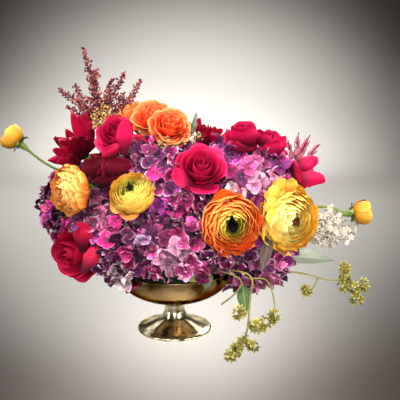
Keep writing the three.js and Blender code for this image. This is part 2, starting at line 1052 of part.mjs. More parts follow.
// A trailing vine with small flower buds on short stalks
function buildVine(group, { name, tip, via, branches, buds }) {
  const route = { via: via.map((p) => at(...p)), steps: 7 };
  const main = buildStem(at(...tip), at(0, 0, -1), STEM_RADIUS.vine, route);
  const parts = branches.map((points) =>
    tube(new THREE.CatmullRomCurve3(points.map((p) => at(...p))), STEM_RADIUS.vine, 3, 3),
  );
  const lines = [[tip, ...via], ...branches].map(
    (points) => new THREE.CatmullRomCurve3(points.map((p) => at(...p))),
  );
  for (const place of buds.map((p) => at(...p))) {
    const near = lines
      .flatMap((line) => line.getPoints(24))
      .sort((p, q) => p.distanceTo(place) - q.distanceTo(place))[0];
    parts.push(spike(near.toArray(), place.toArray(), SPIKES.bud, SPIKE_SIDES));
  }
  add(group, name, largestBody(union([main, ...parts])).simplify(MERGE_TOLERANCE), COLOURS.vine);
}

const LEAVES = [
  {
    name: "leaves_front",
    colour: "leaf",
    joint: [40, -78, 100],
    blades: [
      { root: [40, -78, 101], tip: [38, -88, 82], width: 6, side: [1, 0, 0] },
      { root: [40, -78, 101], tip: [18, -84, 90], width: 6, side: [0.4, 0, 1] },
      { root: [79, -97, 90], tip: [83, -101, 57], width: 7, side: [1, 0.1, 0], arch: 1 },
    ],
    twigs: [
      [[40, -78, 101], [60, -91, 101], [75, -96, 96], [79, -97, 87]],
      [[79, -97, 89], [68, -98, 77], [55, -97, 66]],
    ],
  },
  {
    name: "leaf_right",
    colour: "paleLeaf",
    joint: [126, -34, 101],
    blades: [{ root: [125, -34, 101], tip: [190, -34, 97], width: 12, side: [0, -0.5, 1], arch: 4 }],
  },
  {
    name: "leaves_back",
    colour: "leaf",
    joint: [6, 84, 104],
    blades: [
      { root: [6, 82, 104], tip: [-34, 116, 84], width: 14, side: [0.8, 0.8, 0.4] },
      { root: [6, 82, 104], tip: [46, 114, 88], width: 14, side: [0.8, -0.8, 0.4] },
      { root: [6, 82, 104], tip: [8, 128, 100], width: 13, side: [1, 0, 0] },
    ],
  },
];

function buildLeaves(group, { name, colour, joint, blades, twigs = [] }) {
  const out = at(joint[0], joint[1], 0).normalize();
  const stalk = buildStem(at(...joint), out, STEM_RADIUS.leaf);
  const parts = [stalk, bead(at(...joint), 3), ...blades.map(leaf)];
  for (const points of twigs) {
    const line = new THREE.CatmullRomCurve3(points.map((p) => at(...p)));
    parts.push(tube(line, STEM_RADIUS.vine, 4, 5));
  }
  add(group, name, largestBody(union(parts)).simplify(MERGE_TOLERANCE), COLOURS[colour], { double: true });
}

// Hydrangea heads

// The middle and radius of each head's round of florets
const HEADS = [
  { name: "hydrangea_left", middle: [-103, -24, 160], radius: 50, florets: 25, seed: 11 },
  { name: "hydrangea_centre", middle: [-44, -50, 127], radius: 53, florets: 30, seed: 23 },
  { name: "hydrangea_middle", middle: [18, -58, 124], radius: 52, florets: 34, seed: 31 },
  { name: "hydrangea_top", middle: [-8, -42, 194], radius: 50, florets: 26, seed: 37 },
  { name: "hydrangea_upper_right", middle: [84, -22, 196], radius: 52, florets: 24, seed: 41 },
  { name: "hydrangea_lower_right", middle: [90, -34, 116], radius: 52, florets: 25, seed: 59 },
  { name: "hydrangea_back_left", middle: [-54, 38, 162], radius: 60, florets: 27, seed: 67 },
  { name: "hydrangea_back_right", middle: [54, 42, 150], radius: 60, florets: 27, seed: 71 },
];
const MASS_MIDDLE = at(2, 0, 128);

// A floret: four broad sepals round a sunken eye, on a three-sided stalk rooted in the core
function floret(root, face, size, roll) {
  const frame = frameAt(face, face.clone().sub(root), roll);
  const round = (radius, degrees, z) =>
    at(radius * Math.cos(radians(degrees)), radius * Math.sin(radians(degrees)), z);
  const rim = Array.from({ length: 8 }, (_, i) =>
    i % 2 ? round(0.62 * size, 45 * i, 0.05 * size) : round(size, 45 * i, -0.06 * size),
  );
  const neck = [0, 120, 240].map((degrees) => round(STALK_RADIUS, degrees, -0.45 * size));
  const points = [...rim, ...neck, at(0, 0, -0.16 * size), at(0, 0, -face.distanceTo(root))];
  const [firstNeck, eye, foot] = [8, 11, 12];
  const triangles = [];
  rim.forEach((_, i) => {
    const next = (i + 1) % rim.length;
    const under = firstNeck + Math.floor((3 * i) / 8);
    const nextUnder = firstNeck + Math.floor((3 * next) / 8);
    triangles.push([i, next, eye], [next, i, under]);
    if (under !== nextUnder) triangles.push([next, under, nextUnder]);
  });
  neck.forEach((_, k) => {
    triangles.push([firstNeck + ((k + 1) % 3), firstNeck + k, foot]);
  });
  return solidFrom(
    points.map((point) => point.applyMatrix4(frame)),
    triangles,
  );
}

function insideAnotherHead(point, own) {
  return HEADS.some(
    (head) => head !== own && point.distanceTo(at(...head.middle)) < head.radius - HEAD_OVERLAP,
  );
}

function headFrame(head) {
  const middle = at(...head.middle);
  const out = middle.clone().sub(MASS_MIDDLE).normalize();
  const coreRadius = CORE_SHARE * head.radius;
  return { middle, out, coreRadius, coreMiddle: middle.clone().addScaledVector(out, 3) };
}

function buildHeadStem(head) {
  const { out, coreMiddle } = headFrame(head);
  const reach = 0.4 * CORE_SHARE * head.radius;
  headBodies.set(head.name, buildStem(coreMiddle, out, STEM_RADIUS.hydrangea, { reach }));
}

// The core of a head, cut back where blooms, stems, the foam and other heads need room
function buildHeadCore(head, rooms, ownHole) {
  const { out, coreRadius, coreMiddle } = headFrame(head);
  const core = solidOf(new THREE.SphereGeometry(coreRadius, 7, 4), frameAt(coreMiddle, out));
  const roomier = solidOf(new THREE.SphereGeometry(coreRadius + 1, 7, 4), frameAt(coreMiddle, out));
  const box = core.boundingBox();
  const taken = rooms.filter((room) => room !== ownHole && boxesNear(box, room.boundingBox(), 0));
  const body = taken.length ? core.subtract(union(taken)) : core;
  headBodies.set(head.name, largestBody(union([body, headBodies.get(head.name)])));
  rooms.push(roomier);
}

function buildFlorets(group, head, foamRoom) {
  const random = seeded(head.seed);
  const { middle, out, coreRadius, coreMiddle } = headFrame(head);
  const florets = [];
  for (let i = 0; i < head.florets; i++) {
    const z = 1 - (2 * i + 1) / head.florets;
    const flat = Math.sqrt(1 - z * z);
    const turn = GOLDEN_TURN * i + head.seed;
    const away = at(flat * Math.cos(turn), flat * Math.sin(turn), z);
    const roll = 90 * random();
    const wobble = 0.95 + 0.1 * random();
    if (away.dot(out) < -0.4) continue;
    for (const [reach, size, sideways] of FLORET_TRIES) {
      const nudge = at(random() - 0.5, random() - 0.5, random() - 0.5).multiplyScalar(sideways);
      const way = away.clone().add(nudge).normalize();
      const face = middle.clone().addScaledVector(way, head.radius * wobble * reach);
      if (insideAnotherHead(face, head)) continue;
      const inward = face.clone().sub(coreMiddle).normalize();
      const root = coreMiddle.clone().addScaledVector(inward, coreRadius - ROOT_DEPTH);
      const made = floret(root, face, FLORET_RADIUS * size, roll);
      if (florets.some((other) => other.minGap(made, 1) < FIT_GAP)) continue;
      if (!isClear(made, [head.name]) || made.minGap(foamRoom, 1) < FIT_GAP) continue;
      florets.push(made);
      break;
    }
  }
  const solid = largestBody(union([headBodies.get(head.name), ...florets])).simplify(MERGE_TOLERANCE);
  add(group, head.name, solid, COLOURS.mauve, { double: true });
}

// Model

const centerpiece = new THREE.Group();
const groups = Object.fromEntries(
  ["holder", "blooms", "stems", "heads", "sprays"].map((name) => {
    const group = new THREE.Group();
    group.name = name;
    centerpiece.add(group);
    return [name, group];
  }),
);

buildHolder(groups.holder);
for (const bloom of BLOOMS) buildBloom(groups.blooms, groups.stems, bloom);
buildSpray(groups.blooms, groups.stems);
for (const filler of FILLERS) buildFiller(groups.sprays, filler);
for (const vine of VINES) buildVine(groups.sprays, vine);
for (const leaves of LEAVES) buildLeaves(groups.sprays, leaves);
const foamRoom = foamBlock(1);
const firstHeadHole = foamHoles.length;
for (const head of HEADS) buildHeadStem(head);
const rooms = [...bloomRooms, ...foamHoles, foamRoom];
HEADS.forEach((head, i) => buildHeadCore(head, rooms, foamHoles[firstHeadHole + i]));
for (const head of HEADS) buildFlorets(groups.heads, head, foamRoom);
buildFoam(groups.holder);

for (const [name, { group, solid, colour, roughness, metalness, double }] of nodes) {
  const { numProp, vertProperties, triVerts } = solid.getMesh();
  const count = vertProperties.length / numProp;
  const place = new Float32Array(3 * count);
  for (let i = 0; i < count; i++) {
    place.set(vertProperties.subarray(i * numProp, i * numProp + 3), 3 * i);
  }
  const geometry = new THREE.BufferGeometry();
  geometry.setAttribute("position", new THREE.BufferAttribute(place, 3));
  geometry.setIndex(new THREE.BufferAttribute(new Uint32Array(triVerts), 1));
  geometry.computeVertexNormals();
  const side = double ? THREE.DoubleSide : THREE.FrontSide;
  const material = new THREE.MeshStandardMaterial({ color: colour, roughness, metalness, side });
  const mesh = new THREE.Mesh(geometry, material);
  mesh.name = name;
  group.add(mesh);
}

export default centerpiece;
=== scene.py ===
"""A footed compote bowl filled with flowers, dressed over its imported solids.

Lengths are millimetres until a piece is made, and +Z is up. Each bloom is built round its own +Z,
with its foot at the origin, and then set in its frame.
"""

import math

import bpy
import numpy as np
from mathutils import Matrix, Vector


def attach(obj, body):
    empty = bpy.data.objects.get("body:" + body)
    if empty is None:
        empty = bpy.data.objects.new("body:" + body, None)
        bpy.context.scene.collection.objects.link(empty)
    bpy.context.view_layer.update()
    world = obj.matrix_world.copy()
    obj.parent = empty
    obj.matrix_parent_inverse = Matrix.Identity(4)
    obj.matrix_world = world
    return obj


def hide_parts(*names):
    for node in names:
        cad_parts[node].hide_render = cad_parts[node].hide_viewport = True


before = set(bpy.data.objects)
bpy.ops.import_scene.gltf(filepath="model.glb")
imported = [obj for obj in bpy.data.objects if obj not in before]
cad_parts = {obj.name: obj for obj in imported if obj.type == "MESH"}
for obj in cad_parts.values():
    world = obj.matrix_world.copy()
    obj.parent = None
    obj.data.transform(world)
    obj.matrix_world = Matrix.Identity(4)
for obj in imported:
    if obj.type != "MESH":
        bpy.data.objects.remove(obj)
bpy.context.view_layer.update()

MM = 0.001
GOLDEN_TURN = math.radians(137.508)
GOLDEN_DEGREES = 137.5

# The holder, as in the solids
FOOT_RADIUS = 45.6
PEDESTAL_HEIGHT = 37.5
RIM_RADIUS = 74.0
RIM_HEIGHT = 81.0
BOWL_DEPTH = 44.0
BOWL_WALL = 1.6
SEAT_RADIUS = 13.6
FOAM_RADIUS = 42.0
FOAM_TOP = 108.0
FOAM_MIDDLE = np.array([0.0, 0.0, 84.0])

# The middle of all the flowers together
MASS_MIDDLE = np.array([2.0, 0.0, 128.0])

# The camera, fitted to the photograph's ellipses of foot and rim
CAMERA_AIM = (31.5, 0.0, 163.0)
CAMERA_DISTANCE = 1000.0
CAMERA_ELEVATION = 13.0
CAMERA_LENS = 75.0
CAMERA_SENSOR = 36.0
CAMERA_TILT = math.radians(CAMERA_ELEVATION)
CAMERA_PLACE = (
    CAMERA_AIM[0],
    CAMERA_AIM[1] - CAMERA_DISTANCE * math.cos(CAMERA_TILT),
    CAMERA_AIM[2] + CAMERA_DISTANCE * math.sin(CAMERA_TILT),
)

# Small helpers


def linear(colour):
    """A screen colour, 0 to 255, as linear light."""
    share = np.asarray(colour, dtype=float) / 255
    return np.where(share <= 0.04045, share / 12.92, ((share + 0.055) / 1.055) ** 2.4)


def smooth(low, high, x):
    t = np.clip((x - low) / (high - low), 0, 1)
    return t * t * (3 - 2 * t)


def mix(a, b, t):
    """a to b by t, where t may hold a number for each row."""
    t = np.asarray(t, dtype=float)
    if t.ndim:
        t = t[:, None] if np.ndim(a) or np.ndim(b) else t
    return a + (b - a) * t


def xyz(values):
    return np.array(values, dtype=float)


def unit(vector):
    return vector / np.linalg.norm(vector)


def unit_rows(rows):
    return rows / np.maximum(np.linalg.norm(rows, axis=1, keepdims=True), 1e-9)


def heading(azimuth, elevation):
    """Azimuth 0 faces the front and grows to the right; degrees."""
    a, e = math.radians(azimuth), math.radians(elevation)
    return np.array([math.sin(a) * math.cos(e), -math.cos(a) * math.cos(e), math.sin(e)])


def frame_at(point, direction, roll=0.0):
    """A frame at a point: Z looks along the direction and Y is as upright as it can be."""
    z = unit(xyz(direction))
    x = np.cross((0, 0, 1), z)
    x = np.array([1.0, 0, 0]) if np.linalg.norm(x) < 1e-3 else unit(x)
    y = np.cross(z, x)
    c, s = math.cos(math.radians(roll)), math.sin(math.radians(roll))
    made = np.eye(4)
    made[:3, 0], made[:3, 1], made[:3, 2] = c * x + s * y, c * y - s * x, z
    made[:3, 3] = point
    return made


def moved(frame_matrix, points):
    return points @ frame_matrix[:3, :3].T + frame_matrix[:3, 3]


def spline(points, steps):
    """A smooth line through the points."""
    p = xyz(points)
    p = np.vstack([2 * p[0] - p[1], p, 2 * p[-1] - p[-2]])
    made = []
    for i in range(1, len(p) - 2):
        for t in np.linspace(0, 1, steps, endpoint=False):
            a, b, c, d = p[i - 1 : i + 3]
            made.append(
                0.5 * (2 * b + (c - a) * t + (2 * a - 5 * b + 4 * c - d) * t**2
                       + (3 * b - a - 3 * c + d) * t**3)
            )
    made.append(p[-2])
    return np.array(made)


def ring_faces(rows, sides):
    """Faces that join each ring of points to the next one."""
    return [
        (j * sides + i, j * sides + (i + 1) % sides,
         (j + 1) * sides + (i + 1) % sides, (j + 1) * sides + i)
        for j in range(rows)
        for i in range(sides)
    ]


def revolved(profile, sides):
    """The points and faces of a profile of radii and heights, turned round the axis."""
    angle = np.linspace(0, 2 * math.pi, sides, endpoint=False)
    points = np.vstack([
        np.column_stack([r * np.cos(angle), r * np.sin(angle), np.full(sides, z)])
        for r, z in profile
    ])
    return points, ring_faces(len(profile) - 1, sides)


def smooth_mesh(name, points, faces, material):
    mesh = bpy.data.meshes.new(name)
    mesh.from_pydata((points * MM).tolist(), [], faces)
    mesh.polygons.foreach_set("use_smooth", np.ones(len(faces), dtype=bool))
    mesh.materials.append(material)
    return mesh


def in_scene(name, data):
    """A new object in the scene."""
    made = bpy.data.objects.new(name, data)
    bpy.context.scene.collection.objects.link(made)
    return made


class Growth:
    """Sheets, tubes and beads gathered into one mesh, with a colour and a place on it for each
    vertex: its share across, its share along, and one draw for the whole petal."""

    def __init__(self, seed=1):
        self.points, self.faces, self.tints, self.places = [], [], [], []
        self.count = 0
        self.random = np.random.default_rng(seed)

    def add(self, points, faces, tint, place=None):
        number = len(points)
        self.points.append(points)
        self.faces.extend((np.asarray(faces) + self.count).tolist())
        self.tints.append(np.broadcast_to(np.clip(tint, 0, 1), (number, 3)))
        self.places.append(np.zeros((number, 3)) if place is None else place)
        self.count += number

    def sheet(self, surface, tint, across, along, where=None):
        """surface(u, v) and tint(u, v) give points and colours; u is -1 to 1, v is 0 to 1."""
        u, v = np.meshgrid(np.linspace(-1, 1, across + 1), np.linspace(0, 1, along + 1))
        u, v = u.ravel(), v.ravel()
        first = np.arange(along)[:, None] * (across + 1) + np.arange(across)[None, :]
        first = first.ravel()
        faces = np.stack([first, first + 1, first + across + 2, first + across + 1], axis=1)
        points = surface(u, v)
        if where is not None:
            points = moved(where, points)
        place = np.stack([u, v, np.full_like(u, self.random.random())], axis=1)
        self.add(points, faces, tint(u, v), place)

    def tube(self, points, radii, tint, sides=7):
        """A round tube along the points, with a radius at each or one for all."""
        points = xyz(points)
        radii = np.broadcast_to(radii, len(points))
        along = unit_rows(np.gradient(points, axis=0))
        side = np.cross(along[0], (0.3, 0.9, 0.1))
        rows = []
        for middle, way, radius in zip(points, along, radii):
            side = unit(side - way * np.dot(side, way))
            other = np.cross(way, side)
            turn = np.linspace(0, 2 * math.pi, sides, endpoint=False)[:, None]
            rows.append(middle + radius * (np.cos(turn) * side + np.sin(turn) * other))
        place = np.zeros((len(points) * sides, 3))
        place[:, 1] = np.repeat(np.linspace(0, 1, len(points)), sides)
        if np.ndim(tint) == 2:
            tint = np.repeat(tint, sides, axis=0)
        self.add(np.vstack(rows), ring_faces(len(points) - 1, sides), tint, place)

    def bead(self, middle, radius, tint, way=(0, 0, 1), stretch=1.0, sides=6, rows=4):
        """A round or drawn-out bead."""
        turn = np.linspace(0, math.pi, rows + 1)
        profile = [(radius * math.sin(t), -radius * stretch * math.cos(t)) for t in turn]
        points, faces = revolved(profile, sides)
        self.add(moved(frame_at(middle, way), points), faces, tint)

    def piece(self, name, material, node):
        """The mesh as a piece that stands for a CAD node."""
        points = np.concatenate(self.points)
        mesh = smooth_mesh(name, points, self.faces, material)
        rgba = np.ones((len(points), 4))
        rgba[:, :3] = np.concatenate(self.tints)
        tint = mesh.color_attributes.new("tint", "FLOAT_COLOR", "POINT")
        tint.data.foreach_set("color", rgba.ravel())
        place = mesh.attributes.new("place", "FLOAT_VECTOR", "POINT")
        place.data.foreach_set("vector", np.concatenate(self.places).ravel())
        made = in_scene(name, mesh)
        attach(made, "root")
        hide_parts(node)


# Materials


# A noise seldom leaves this range
NOISE_LOW, NOISE_HIGH = 0.3, 0.7
# The metal's painted shade on its left side, in metres along X: darkest up to one, none from the
# other
PAINTED_SHADE_FULL, PAINTED_SHADE_NONE = -0.07, -0.02
# How veins change along a petal, and from one petal to the next
VEIN_RUN, VEIN_CHANGE = 1.4, 60.0


def opaque(colour):
    return (*linear(colour), 1)


def new_material(name, roughness, metallic=0.0, specular=0.5):
    material = bpy.data.materials.new(name)
    material.use_nodes = True
    shader = material.node_tree.nodes["Principled BSDF"]
    shader.inputs["Roughness"].default_value = roughness
    shader.inputs["Metallic"].default_value = metallic
    shader.inputs["Specular IOR Level"].default_value = specular
    return material, material.node_tree, shader


def add_node(tree, kind, **values):
    """A node with its settings, or its sockets where a name isn't a setting."""
    node = tree.nodes.new(kind)
    for key, value in values.items():
        if hasattr(node, key):
            setattr(node, key, value)
        else:
            node.inputs[key.replace("_", " ")].default_value = value
    return node


def object_place(tree):
    return add_node(tree, "ShaderNodeTexCoord").outputs["Object"]


def noise(tree, where, scale, detail, roughness=0.5):
    node = add_node(
        tree, "ShaderNodeTexNoise", Scale=scale, Detail=detail, Roughness=roughness
    )
    tree.links.new(where, node.inputs["Vector"])
    return node.outputs["Fac"]


def ranged(tree, value, low, high, start=NOISE_LOW, end=NOISE_HIGH):
    """A number that goes from low to high as the value goes from start to end."""
    node = add_node(
        tree, "ShaderNodeMapRange", From_Min=start, From_Max=end, To_Min=low, To_Max=high
    )
    tree.links.new(value, node.inputs["Value"])
    return node.outputs["Result"]


def times(tree, colour, factor):
    node = add_node(tree, "ShaderNodeVectorMath", operation="SCALE")
    tree.links.new(colour, node.inputs[0])
    tree.links.new(factor, node.inputs["Scale"])
    return node.outputs["Vector"]


def bump(tree, shader, height, strength, distance):
    node = add_node(tree, "ShaderNodeBump", Strength=strength, Distance=distance)
    tree.links.new(height, node.inputs["Height"])
    tree.links.new(node.outputs["Normal"], shader.inputs["Normal"])


def shade_tint(tree, shader, pattern, contrast, relief, distance):
    """The mesh's own tint, made lighter and darker and raised by a pattern."""
    tint = add_node(tree, "ShaderNodeAttribute", attribute_name="tint")
    factor = ranged(tree, pattern, 1 - contrast, 1 + contrast)
    tree.links.new(times(tree, tint.outputs["Color"], factor), shader.inputs["Base Color"])
    bump(tree, shader, pattern, relief, distance)


def petal_material(name, roughness, streaks, contrast, relief=0.35):
    """Fine veins that run from each petal's foot to its rim."""
    material, tree, shader = new_material(name, roughness, specular=0.22)
    place = add_node(tree, "ShaderNodeAttribute", attribute_name="place")
    stretch = add_node(tree, "ShaderNodeVectorMath", operation="MULTIPLY")
    stretch.inputs[1].default_value = (streaks, VEIN_RUN, VEIN_CHANGE)
    tree.links.new(place.outputs["Vector"], stretch.inputs[0])
    veins = noise(tree, stretch.outputs["Vector"], 1.0, 3.0, 0.6)
    shade_tint(tree, shader, veins, contrast, relief, 0.0006)
    return material


def grainy_material(name, roughness, scale, contrast):
    """A mottled surface, for stems, seeds and small buds."""
    material, tree, shader = new_material(name, roughness, specular=0.3)
    grain = noise(tree, object_place(tree), scale, 2.0)
    shade_tint(tree, shader, grain, contrast, 0.3, 0.0004)
    return material


def mottled(tree, where, scale, detail, dark, light):
    """A colour between dark and light by noise; returns the colour and the noise."""
    patches = noise(tree, where, scale, detail)
    ramp = add_node(tree, "ShaderNodeValToRGB")
    stops = ramp.color_ramp.elements
    stops[0].position, stops[0].color = 0.35, opaque(dark)
    stops[1].position, stops[1].color = 0.65, opaque(light)
    tree.links.new(patches, ramp.inputs["Fac"])
    return ramp.outputs["Color"], patches


def brass_material(name, dark, light, scale, left_shade, rim_glint):
    """Antique gold: bright worn metal with darker, duller patches; the left side is darkened with
    painted shade.
    """
    material, tree, shader = new_material(name, 0.2, metallic=1.0)
    where = object_place(tree)
    colour, patches = mottled(tree, where, scale, 6.0, dark, light)
    apart = add_node(tree, "ShaderNodeSeparateXYZ")
    tree.links.new(where, apart.inputs["Vector"])
    # painted shade: the base colour darkens towards the left side (low X)
    side = ranged(tree, apart.outputs["X"], left_shade, 1.0, PAINTED_SHADE_FULL, PAINTED_SHADE_NONE)
    tree.links.new(times(tree, colour, side), shader.inputs["Base Color"])
    shader.inputs["Specular Tint"].default_value = opaque(rim_glint)
    tree.links.new(ranged(tree, patches, 0.26, 0.08), shader.inputs["Roughness"])
    bump(tree, shader, noise(tree, where, 60.0, 4.0), 0.3, 0.0015)
    return material


def foam_material():
    """Wet green foam with fine pores."""
    material, tree, shader = new_material("floral_foam", 0.9)
    where = object_place(tree)
    colour, _ = mottled(tree, where, 260.0, 4.0, (22, 38, 20), (48, 74, 38))
    tree.links.new(colour, shader.inputs["Base Color"])
    pores = add_node(tree, "ShaderNodeTexVoronoi", Scale=900.0)
    tree.links.new(where, pores.inputs["Vector"])
    bump(tree, shader, pores.outputs["Distance"], 0.7, 0.0008)
    return material


ROSE_PETAL = petal_material("rose_petal", 0.62, streaks=7, contrast=0.12)
SATIN_PETAL = petal_material("satin_petal", 0.5, streaks=12, contrast=0.1, relief=0.25)
SEPAL = petal_material("hydrangea_sepal", 0.6, streaks=9, contrast=0.42, relief=0.6)
LEAF = petal_material("leaf_blade", 0.5, streaks=4, contrast=0.2, relief=0.6)
STALK = grainy_material("green_stalk", 0.5, scale=700, contrast=0.2)
DRY = grainy_material("dry_bract", 0.75, scale=1200, contrast=0.3)
# The fifth number is how dark the painted shade makes each metal on its left side
BOWL_GOLD = brass_material("bowl_gold", (88, 60, 34), (206, 174, 124), 26.0, 0.3, (116, 100, 80))
FOOT_GOLD = brass_material("foot_gold", (84, 74, 46), (242, 230, 196), 70.0, 0.8, (250, 240, 214))
FOAM = foam_material()

# Petals


def cup_petal(growth, where, ring, azimuth, tint, across, along):
    """A cupped petal: it leaves the heart at its foot, swells to a radius and a height, and its
    rim may flare, droop, roll, turn out in a lip and ruffle."""
    foot_radius, foot_height = ring["foot"]
    most = math.radians(ring["curl"])
    radius, height, span = ring["radius"], ring["height"], ring["span"]
    ruffle, waves = ring["ruffle"], ring.get("waves", 5.0)
    phase = growth.random.uniform(0, 6)

    def surface(u, v):
        reach = v * (1 - ring["round"] * np.abs(u) ** 2.6 * smooth(0.35, 1, v))
        reach = reach + ring.get("point", 0.0) * np.exp(-((u / 0.22) ** 2)) * smooth(0.7, 1, v)
        turn = reach * most
        breadth = (0.45 + 0.55 * np.sin(v * math.pi / 2)) * (1 - 0.16 * smooth(0.65, 1, v))
        angle = np.radians(azimuth + u * span * breadth)
        wave = ruffle * smooth(0.3, 1, v)
        swell = np.sin(waves * u + phase) + 0.5 * np.sin(2.3 * waves * u + 2 * phase)
        lip = ring.get("lip", 0.0) * smooth(0.74, 1, reach) ** 1.4
        r = foot_radius + (radius - foot_radius) * np.sin(turn) + ring.get("spiral", 0) * u * v
        r = r + ring.get("flare", 0) * reach**4 + ring.get("roll", 0) * np.abs(u) ** 3 * v
        r = r + wave * swell + lip
        rise = (1 - np.cos(turn)) / (1 - math.cos(most))
        z = foot_height + (height - foot_height) * rise - ring.get("droop", 0) * reach**5
        z = z + 0.7 * wave * np.cos(waves * u + 1.7 * phase) - 0.6 * lip
        return np.column_stack([r * np.cos(angle), r * np.sin(angle), z])

    growth.sheet(surface, tint, across, along, where)


def petal_tint(colours, bright=1.0, edge=0.6, low=0.05, high=0.6, rim_from=0.78):
    """A petal's colours: the root is painted shade, the body its own colour, and the rim its paler
    edge with a painted highlight.
    """
    root, body, rim = colours

    def tint(u, v):
        # painted shade: the colour darkens towards the petal's root, deep in the bloom
        colour = mix(root, body, smooth(low, high, v))
        # the rim pales: partly the petal's own paler edge, partly a painted highlight
        rim_paleness_and_highlight = np.maximum(smooth(rim_from, 1, v), smooth(0.8, 1, np.abs(u)) * smooth(0.3, 0.8, v))
        return mix(colour, rim, edge * rim_paleness_and_highlight) * bright

    return tint


def petal_axes(root, tip, side):
    """A petal's root, its way to the tip, and the unit ways across it and out of its face."""
    root = xyz(root)
    along = xyz(tip) - root
    across = xyz(side)
    across = unit(across - along * np.dot(across, along) / np.dot(along, along))
    return root, along, across, unit(np.cross(across, along))


def fanned(side, along, width, height):
    """The points of a petal that lies out from the middle at an angle."""
    c, s = math.cos(side), math.sin(side)
    return np.column_stack([along * c - width * s, along * s + width * c, height])


def blade(growth, root, tip, width, side, tint, arch=3.0, cup=4.0, lip=0.0, blunt=True):
    """One petal from its root to its tip, as wide as twice its width along the side. It arches
    towards its face, its edges fall back, and its tip may turn out."""
    root, along, across, face = petal_axes(root, tip, side)
    phase = growth.random.uniform(0, 6)

    def surface(u, v):
        t = np.sin(v * math.pi / 2)
        if blunt:
            half = width * (0.4 + 0.6 * smooth(0, 0.6, t)) * (1 - 0.12 * smooth(0.7, 1, t))
            edge = 0.34 * np.abs(u) ** 2.8 + 0.018 * np.sin(5 * u + phase)
            t = t * (1 - edge * smooth(0.3, 1, t))
        else:
            half = width * (0.12 * (1 - t) + np.sin(math.pi * t**1.1) ** 0.8)
        lift = arch * np.sin(math.pi * t) - cup * u * u * (0.3 + 0.7 * t) + lip * smooth(0.72, 1, t)
        lift = lift + 0.07 * width * np.sin(3.4 * u + phase) * t
        half = half * u + 0.06 * width * np.sin(3 * t + phase) * t
        return root + t[:, None] * along + half[:, None] * across + lift[:, None] * face

    growth.sheet(surface, tint, 10, 14)


# Each rose's colours: its root, painted shade deep in the bloom; its body; and its rim, paler with
# a painted highlight
ROSE_COLOURS = {
    "magenta": ((76, 0, 28), (204, 6, 70), (240, 60, 120)),
    "crimson": ((64, 0, 20), (192, 8, 56), (226, 40, 88)),
    # A crimson painted darker all over, as painted shade on a rose that lies in shade
    "burgundy": ((40, 2, 14), (118, 6, 36), (162, 26, 60)),
}
# The parts of a rose: how many petals, then from the first petal to the last their radius and
# height as shares, half width in degrees, curl, flare, droop and lip
ROSE_HEART = {
    "petals": 6, "radius": (0.1, 0.34), "height": (1.0, 0.96), "span": (130, 92),
    "curl": (128, 116), "flare": (0, 0.01), "droop": (0, 0), "lip": (0, 0.015),
}
ROSE_CUP = {
    "petals": 5, "radius": (0.43, 0.62), "height": (0.95, 0.84), "span": (86, 70),
    "curl": (104, 94), "flare": (0.02, 0.05), "droop": (0, 0.02), "lip": (0.035, 0.055),
}
ROSE_SKIRT = {
    "petals": 7, "radius": (0.7, 0.84), "height": (0.74, 0.5), "span": (58, 50),
    "curl": (90, 80), "flare": (0.04, 0.1), "droop": (0.02, 0.09), "lip": (0.06, 0.08),
}


def rose(growth, where, across, depth, colours):
    """A rose: a closed heart, a cup of petals round it, and wide outer petals that roll back."""
    colours = linear(colours)
    r = across / 2
    draw = growth.random
    number = 0
    for stage, part in enumerate((ROSE_HEART, ROSE_CUP, ROSE_SKIRT)):
        for k in range(part["petals"]):
            t = k / (part["petals"] - 1)
            own = {key: np.interp(t, [0, 1], part[key]) for key in part if key != "petals"}
            ring = {
                "foot": (1.6 + 0.8 * stage, 3.6 - stage),
                "radius": r * own["radius"] * draw.uniform(0.96, 1.04),
                "height": depth * own["height"] * draw.uniform(0.95, 1.04),
                "span": own["span"],
                "curl": own["curl"],
                "round": 0.14 + 0.08 * stage,
                "point": 0.015 * stage,
                "spiral": r * (0.08 - 0.02 * stage),
                "flare": r * own["flare"] * draw.uniform(0.6, 1.4),
                "droop": depth * own["droop"] * draw.uniform(0.3, 1.7),
                "lip": r * own["lip"] * draw.uniform(0.7, 1.3),
                "roll": 0.03 * r * stage,
                "ruffle": 0.006 * r * (1 + 2 * stage),
                "waves": draw.uniform(2, 3.5),
            }
            azimuth = math.degrees(number * GOLDEN_TURN) + draw.uniform(-9, 9)
            # painted shade: the heart's petals are painted darker than the outer ones
            bright = draw.uniform(0.86, 1.12) * (0.84 + 0.09 * stage)
            tint = petal_tint(colours, bright, 0.5 + 0.15 * stage, 0.12, 0.88, 0.86)
            cup_petal(growth, where, ring, azimuth, tint, 14, 14)
            number += 1
